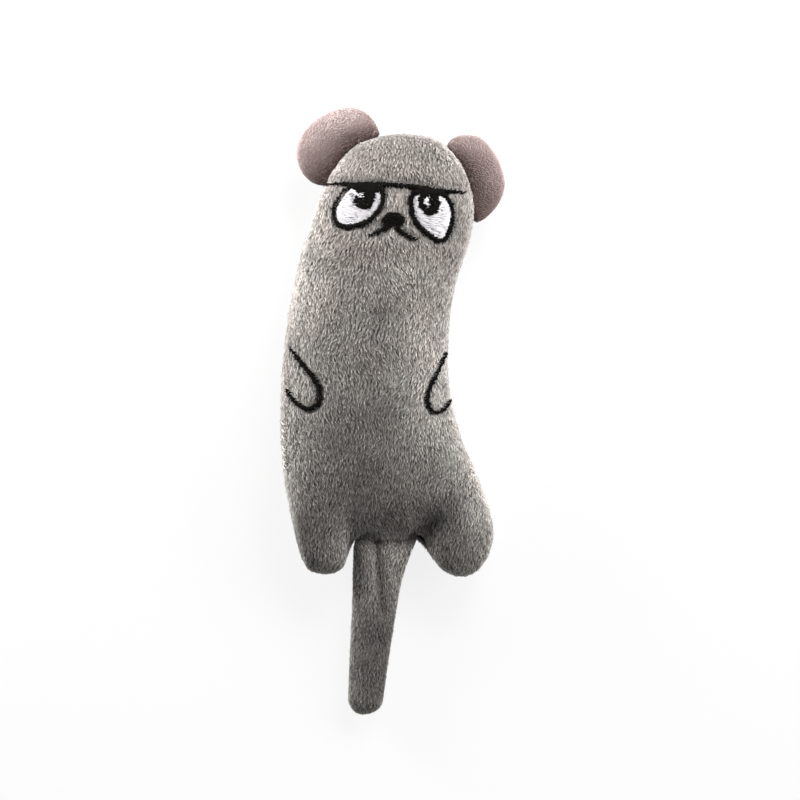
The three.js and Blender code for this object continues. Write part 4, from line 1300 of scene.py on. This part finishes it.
class MOUSE_OT_embroidery(bpy.types.Operator):
    """Sew the brow, eyes, nose, mouth and arms"""

    bl_idname = "mouse.embroidery"
    bl_label = "Embroidery"

    def execute(self, context):
        plush, colours = context.scene.mouse_plush, context.scene.mouse_colours
        black = thread_finish("black_thread_satin", tuple(colours.black_thread), srgb(24, 22, 20))
        white = thread_finish("white_thread_satin", tuple(colours.white_thread), srgb(180, 176, 180))
        needle = Needle(made["front_plush"], plush, context.scene.mouse_stage, FACE_SEED)

        def black_piece(node, *batches):
            sew_threads(f"{node}_stitches", batches, needle.radius, black, node)

        def white_piece(node, *batches):
            sew_threads(f"{node}_stitches", batches, needle.radius * WHITE_SHARE, white, node)

        for node, outline, angle in (
            ("left_eye_white", LEFT_WHITE, -0.12),
            ("right_eye_white", RIGHT_WHITE, 0.06),
        ):
            under = needle.lay(needle.fill(outline, FILL_PITCH, angle + 1.5), *UNDERLAY)
            white_piece(node, under, needle.lay(needle.fill(outline, WHITE_PITCH, angle), *GROUND))
        for node, outline, angle in (("left_pupil", LEFT_PUPIL, -0.3), ("right_pupil", RIGHT_PUPIL, -0.2)):
            black_piece(node, needle.lay(needle.fill(outline, FILL_PITCH, angle), *OVER))
        for node, path, widths in (
            ("left_eye_glint", LEFT_GLINT, GLINT_WIDTHS),
            ("right_eye_glint", RIGHT_GLINT, RIGHT_GLINT_WIDTHS),
        ):
            white_piece(node, needle.lay(needle.satin(path, widths), *TOP))
        for node, path, widths, lid in (
            ("left_eye_outline", LEFT_EYE, LEFT_EYE_WIDTHS, LEFT_LID),
            ("right_eye_outline", RIGHT_EYE, RIGHT_EYE_WIDTHS, RIGHT_LID),
        ):
            ring = needle.lay(needle.satin(path, widths, closed=True), *OVER)
            black_piece(node, ring, needle.lay(needle.satin(lid, LID_WIDTHS), *OVER))
        black_piece("brow_embroidery", needle.lay(needle.satin(BROW, BROW_WIDTHS), *OVER))
        black_piece("nose_embroidery", needle.lay(needle.fill(NOSE, FILL_PITCH, 0.2), *OVER))
        for node, path, widths in (
            ("mouth_left", MOUTH_LEFT, MOUTH_LEFT_WIDTHS),
            ("mouth_right", MOUTH_RIGHT, MOUTH_RIGHT_WIDTHS),
            ("left_arm_embroidery", LEFT_ARM, LEFT_ARM_WIDTHS),
            ("right_arm_embroidery", RIGHT_ARM, RIGHT_ARM_WIDTHS),
        ):
            black_piece(node, needle.lay(needle.satin(path, widths), *OVER))
        made["sewn"] = np.vstack(needle.sewn)
        return {"FINISHED"}


class MOUSE_OT_closing_stitches(bpy.types.Operator):
    """Sew the pale whip stitches that close the left side"""

    bl_idname = "mouse.closing_stitches"
    bl_label = "Closing stitches"

    def execute(self, context):
        plush, colours = context.scene.mouse_plush, context.scene.mouse_colours
        pale = thread_finish("closing_thread", tuple(colours.pale_thread), srgb(190, 186, 182))
        needle = Needle(made["front_plush"], plush, context.scene.mouse_stage, CLOSING_SEED)
        stitches = []
        for y in CLOSING_STITCHES_Y:
            spot = np.array((CLOSING_EDGE - CLOSING_LEAN * (y + 6), y))
            stitches.append([spot + end for end in CLOSING_ENDS])
        lines = needle.lay(np.array(stitches), *CLOSING)
        radius = plush.closing_thread / MM / 2
        sew_threads("closing_stitch_loops", [lines], radius, pale, "closing_stitches")
        made["closing"] = np.vstack(needle.sewn)
        return {"FINISHED"}


class MOUSE_OT_pile(bpy.types.Operator):
    """Grow the plush pile over the body, the ears and the tail"""

    bl_idname = "mouse.pile"
    bl_label = "Plush pile"

    def execute(self, context):
        plush, colours = context.scene.mouse_plush, context.scene.mouse_colours
        grey_hues = map(tuple, (colours.grey_root, colours.grey_tip, colours.grey_warm))
        pink_hues = map(tuple, (colours.pink_root, colours.pink_tip, colours.pink_warm))
        grey, pink = pile_finish("grey_pile", *grey_hues, 0), pile_finish("pink_pile", *pink_hues, 1)
        length, width, spacing = (v / MM for v in (plush.pile_length, plush.pile_width, plush.pile_spacing))
        sewn = np.vstack([made["sewn"], made["closing"]])
        bare = KDTree(len(sewn))
        for i, p in enumerate(sewn):
            bare.insert(p, i)
        bare.balance()

        def down(lift):
            """Combs pile down the body, fanned out on the crown and raised more round the head."""

            def heading(roots, normals):
                fan = 0.012 * roots[:, 0] * np.clip((roots[:, 1] - 40) / 25, 0, 1)
                rise = np.where((roots[:, 2] > -2) & (roots[:, 1] > 45), 0.5, lift)
                return np.column_stack([fan, np.full(len(roots), -1.0), rise])

            return heading

        def wear_and_shade(roots):
            """Painted shade: the lower belly and the legs are a little darker, along with the patches of nap
            and painted light.
            """
            return nap_and_painted_light_tone(roots) * (1 - LOWER_SHADE * np.clip((LOWER_SHADE_FROM - roots[:, 1]) / LOWER_SHADE_RUN, 0, 1))

        def over_tail(roots):
            """The belly's last tufts are longer and hide where the tail is sewn in."""
            x, y, wide, long = TAIL_MOUTH
            return np.exp(-(((roots[:, 1] - y) / long) ** 2) - ((roots[:, 0] - x) / wide) ** 6)

        body, tail = (made["front_plush"], made["back_plush"]), (made["tail_plush"],)
        for name, cloth, lift, low, high, seed in (
            ("front_pile_head", "front_plush", 0.3, 28, 99, 101),
            ("front_pile_chest", "front_plush", 0.3, 0, 28, 106),
            ("front_pile_legs", "front_plush", 0.3, -99, 0, 111),
            ("back_pile_head", "back_plush", -0.3, 14, 99, 116),
            ("back_pile_legs", "back_plush", -0.3, -99, 14, 121),
        ):
            front, last = cloth == "front_plush", name == "front_pile_legs"
            apart = spacing if front else spacing * BACK_SPARSER
            pile = grow_pile(
                name, [made[cloth]], down(lift), grey, seed, length, width, apart,
                part=lambda p, a=low, b=high: (p[:, 1] >= a) & (p[:, 1] < b),
                bare=bare if front else None,
                shade=wear_and_shade,
                around=body + tail if last else body,
                hang=over_tail if last else None,
            )
            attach(pile, "mouse_body")
        head_edge = np.array(BODY_EDGE)
        # base and inner are painted light and shade: the right ear darker overall than the left, and each
        # darker near the head.
        for side, seed, base, inner in (("left", 131, 0.96, 0.4), ("right", 136, 0.79, 0.46)):
            hinge = (np.array(JOINTS[f"{side}_ear_flop"]["pos_m"]) - ORIGIN) / MM

            def outward(roots, normals):
                return np.tile((hinge[0], -9, 0), (len(roots), 1))

            def paler(roots):
                """Painted light and shade: the pile is darker near the head and paler towards the ear's free
                edge.
                """
                away = np.clip(off_line(roots[:, :2], head_edge)[0], 0, EAR_SHADE_REACH)
                return base * (inner + EAR_SHADE_RISE * away) * nap_and_painted_light_tone(roots)

            sheets = [made[f"{side}_ear_{face}_plush"] for face in ("front", "back")]
            pile = grow_pile(
                f"{side}_ear_pile", sheets, outward, pink, seed, plush.ear_pile_length / MM, width, spacing,
                shade=paler, grain=0.15,
            )
            ride_ear(pile, side)
        pile = grow_pile(
            "tail_pile", tail, down(0.0), grey, 141, length * TAIL_SHORTER, width, spacing,
            part=self.clear_of_belly, shade=self.tail_shade,
        )
        ride_tail(pile)
        return {"FINISHED"}

    def clear_of_belly(self, roots):
        """Which of the tail's tufts stay clear of the belly's edge as the tail sways."""
        highest, lower_behind, right_slope, left_slope = TAIL_ROOT_Y + 3, 2.4, 0.4, 0.15
        aside = roots[:, 0] - (JOINTS["tail_sway"]["pos_m"][0] - ORIGIN[0]) / MM
        behind = np.where(roots[:, 2] < 0, lower_behind, 0)
        return roots[:, 1] < highest - behind - np.maximum(right_slope * aside, -left_slope * aside)

    def tail_shade(self, roots):
        """Painted light and shade: the tail is paler at its root and along its sides, and darker in its
        pleat, where shade falls.
        """
        stations = np.array(TAIL_STATIONS)
        share = (TAIL_ROOT_Y - roots[:, 1]) / TAIL_LENGTH
        left, right = (np.interp(share, stations[:, 0], stations[:, k]) for k in (1, 2))
        rightward = np.clip((roots[:, 0] - left) / (right - left), 0, 1)
        at, drift, across, _ = TAIL_PLEATS[0]
        gone = np.clip(share * TAIL_LENGTH / PLEAT_LENGTH, 0, 1)
        pleat = np.exp(-(((roots[:, 0] - at - drift * gone) / across) ** 2)) * np.clip(2.2 - 2.2 * gone, 0, 1)
        tone, turn, strip = (np.interp(share, *row) for row in (TAIL_TONE, TAIL_TURN, TAIL_STRIP))
        strip = strip * (1 - rightward) ** 4
        return tone * (1 + turn * rightward + strip) * (1 - (0.35 + 0.12 * gone) * pleat)


def loosened(node, name, voxel, lumps, seed):
    """A CAD soft solid as a fresh mesh with an uneven surface."""
    piece = new_object(name, frame["nodes"][node].data.copy())
    piece.data.materials.clear()
    finer = piece.modifiers.new("finer", "REMESH")
    finer.mode = "VOXEL"
    finer.voxel_size = voxel * MM
    softer = piece.modifiers.new("softer", "SMOOTH")
    softer.iterations = 4
    bake_modifiers(piece)
    sheet = read_sheet(piece.data)
    points = sheet["points"]
    inwards = 1.2
    uneven = 0.7 * ripple(points, 5, seed) + 0.3 * ripple(points, 1.6, seed + 1)
    set_points(piece, points + sheet["normals"] * (lumps * (uneven - inwards))[:, None])
    shade_smooth(piece)
    return piece


def set_points(piece, points):
    piece.data.vertices.foreach_set("co", place(points).reshape(-1))
    piece.data.update()


def kept_between(piece, front, back, margin):
    """Draws a piece's points in between two sheets."""
    points = pattern_points(piece.data)
    for sheet, sign in ((front, 1), (back, -1)):
        tree = search_tree(sheet["points"], sheet["triangles"])
        for p in points:
            hit = tree.ray_cast(Vector((p[0], p[1], sign * ABOVE_ALL)), Vector((0, 0, -sign)))[0]
            if hit is None:
                hit = tree.find_nearest(p)[0]
                p[:2] = hit[:2]
            p[2] = sign * min(sign * p[2], sign * hit[2] - margin)
    set_points(piece, points)


class MOUSE_OT_filling(bpy.types.Operator):
    """Pack the body, the ears and the tail with fibre wadding"""

    bl_idname = "mouse.filling"
    bl_label = "Wadding"

    def execute(self, context):
        finish = wadding_finish("fibre_wadding", tuple(context.scene.mouse_colours.wadding))
        body = made["front_plush"], made["back_plush"]
        nodes = ("head_wad", "belly_wad_front", "belly_wad_back", "left_leg_wad", "right_leg_wad")
        for number, node in enumerate(nodes):
            wad = loosened(node, f"{node}_fibre", *BODY_WAD_GRAIN, 301 + 2 * number)
            kept_between(wad, *body, BODY_WAD_ROOM)
            if node.startswith("belly"):
                self.draw_up(wad)
            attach(wad, "mouse_body")
            self.finished(wad, node, finish)
        for side, seed in (("left", 321), ("right", 323)):
            wad = loosened(f"{side}_ear_pad", f"{side}_ear_pad_fibre", *EAR_WAD_GRAIN, seed)
            ear = (made[f"{side}_ear_{face}_plush"] for face in ("front", "back"))
            kept_between(wad, *ear, EAR_WAD_ROOM)
            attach(wad, f"{side}_ear")
            self.finished(wad, f"{side}_ear_pad", finish)
        points, faces = tail_skin(TAIL_WAD_ROOM, 0.08)
        wad = new_object("tail_wad_fibre", new_mesh("tail_wad_fibre", points, faces))
        sheet = read_sheet(wad.data)
        set_points(wad, points + sheet["normals"] * 0.2 * (ripple(points, 3, 331) - 1)[:, None])
        shade_smooth(wad)
        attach(wad, "tail")
        self.finished(wad, "tail_wad", finish)
        return {"FINISHED"}

    def draw_up(self, wad):
        """Leaves room below a belly wad for the tail's root to sway."""
        points = pattern_points(wad.data)
        below = np.maximum(0, BELLY_WAD_END - points[:, 1])
        points[:, 1] += BELLY_WAD_DRAW * below
        set_points(wad, points)

    def finished(self, wad, node, finish):
        wad.data.materials.append(finish)
        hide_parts(node)


class MOUSE_OT_sachet(bpy.types.Operator):
    """Make the muslin sachet and the dried catnip in it"""

    bl_idname = "mouse.sachet"
    bl_label = "Catnip sachet"

    def execute(self, context):
        colours = context.scene.mouse_colours
        muslin = muslin_finish("sachet_muslin", tuple(colours.muslin))
        for seed, node in ((341, "sachet_front"), (343, "sachet_back")):
            cloth = loosened(node, f"{node}_muslin", *MUSLIN_GRAIN, seed)
            cloth.data.materials.append(muslin)
            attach(cloth, "mouse_body")
            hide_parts(node)
        heap = loosened("dried_catnip", "catnip_heap", *HERB_GRAIN, 345)
        herb = herb_finish("catnip_leaf", tuple(colours.herb))
        heap.data.materials.append(herb)
        rng = np.random.default_rng(347)
        spots, normals = scatter(read_sheet(heap.data), CRUMB_SPACING, rng)
        count = len(spots)
        toss = unit(rng.normal(size=(count, 3)))
        flow = unit(toss - normals * (toss * normals).sum(1, keepdims=True))
        sizes = rng.uniform(0.6, 1, count)
        sunk = spots - normals * CRUMB_DEPTH
        spine = [sunk + flow * (share * sizes)[:, None] + normals * lift for share, lift in CRUMB_BENDS]
        facing, tone = np.stack([normals] * 3, 1), rng.uniform(0.5, 1.5, count)
        leaves = tuft_mesh("catnip_crumbs", np.stack(spine, 1), facing, 0.9 * sizes, tone)
        crumbs = new_object("catnip_crumbs", leaves, herb)
        for piece in (heap, crumbs):
            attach(piece, "mouse_body")
        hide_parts("dried_catnip")
        return {"FINISHED"}


class MOUSE_OT_tail_tack(bpy.types.Operator):
    """Sew the twisted tack that holds the tail's root in the seam"""

    bl_idname = "mouse.tail_tack"
    bl_label = "Tail tack"

    def execute(self, context):
        colours = context.scene.mouse_colours
        grey = thread_finish("grey_tack_thread", tuple(colours.grey_root), tuple(colours.grey_tip), 0.6)
        low, high = ((np.array(corner) - ORIGIN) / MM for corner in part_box("tail_tack"))
        share = np.linspace(0, 1, 60)
        middle = (low + high) / 2
        reach = (high[2] - low[2]) / 4
        strands = []
        for start in (0, math.pi):
            turn = start + share * 2 * math.pi * TACK_TURNS
            strands.append(np.stack([
                low[0] + (high[0] - low[0]) * share,
                middle[1] + reach * np.cos(turn),
                middle[2] + reach * np.sin(turn),
            ], 1))
        lines = [np.array(strands)]
        sew_threads("tail_tack_thread", lines, reach * 0.95, grey, "tail_tack", "tail_root")
        return {"FINISHED"}


class MOUSE_PT_sidebar(bpy.types.Panel):
    """Lists the steps that make the mouse, and its sizes and colours"""

    bl_idname = "MOUSE_PT_sidebar"
    bl_label = "Catnip Mouse"
    bl_space_type = "VIEW_3D"
    bl_region_type = "UI"
    bl_category = "Mouse"

    def draw(self, context):
        for step in STEPS:
            self.layout.operator(step.bl_idname)
        for group in (context.scene.mouse_plush, context.scene.mouse_colours, context.scene.mouse_stage):
            box = self.layout.box()
            for name in group.__annotations__:
                box.prop(group, name)


GROUPS = {"mouse_plush": MousePlush, "mouse_colours": MouseColours, "mouse_stage": MouseStage}
STEPS = (
    MOUSE_OT_stage, MOUSE_OT_body, MOUSE_OT_ears, MOUSE_OT_tail, MOUSE_OT_embroidery,
    MOUSE_OT_closing_stitches, MOUSE_OT_pile, MOUSE_OT_filling, MOUSE_OT_sachet, MOUSE_OT_tail_tack,
)


def register():
    for name, group in GROUPS.items():
        bpy.utils.register_class(group)
        setattr(bpy.types.Scene, name, PointerProperty(type=group))
    for item in (*STEPS, MOUSE_PT_sidebar):
        bpy.utils.register_class(item)


def unregister():
    for item in reversed((*STEPS, MOUSE_PT_sidebar)):
        bpy.utils.unregister_class(item)
    for name, group in GROUPS.items():
        delattr(bpy.types.Scene, name)
        bpy.utils.unregister_class(group)


def main():
    register()
    for step in STEPS:
        family, action = step.bl_idname.split(".")
        getattr(getattr(bpy.ops, family), action)()


if __name__ == "__main__":
    main()
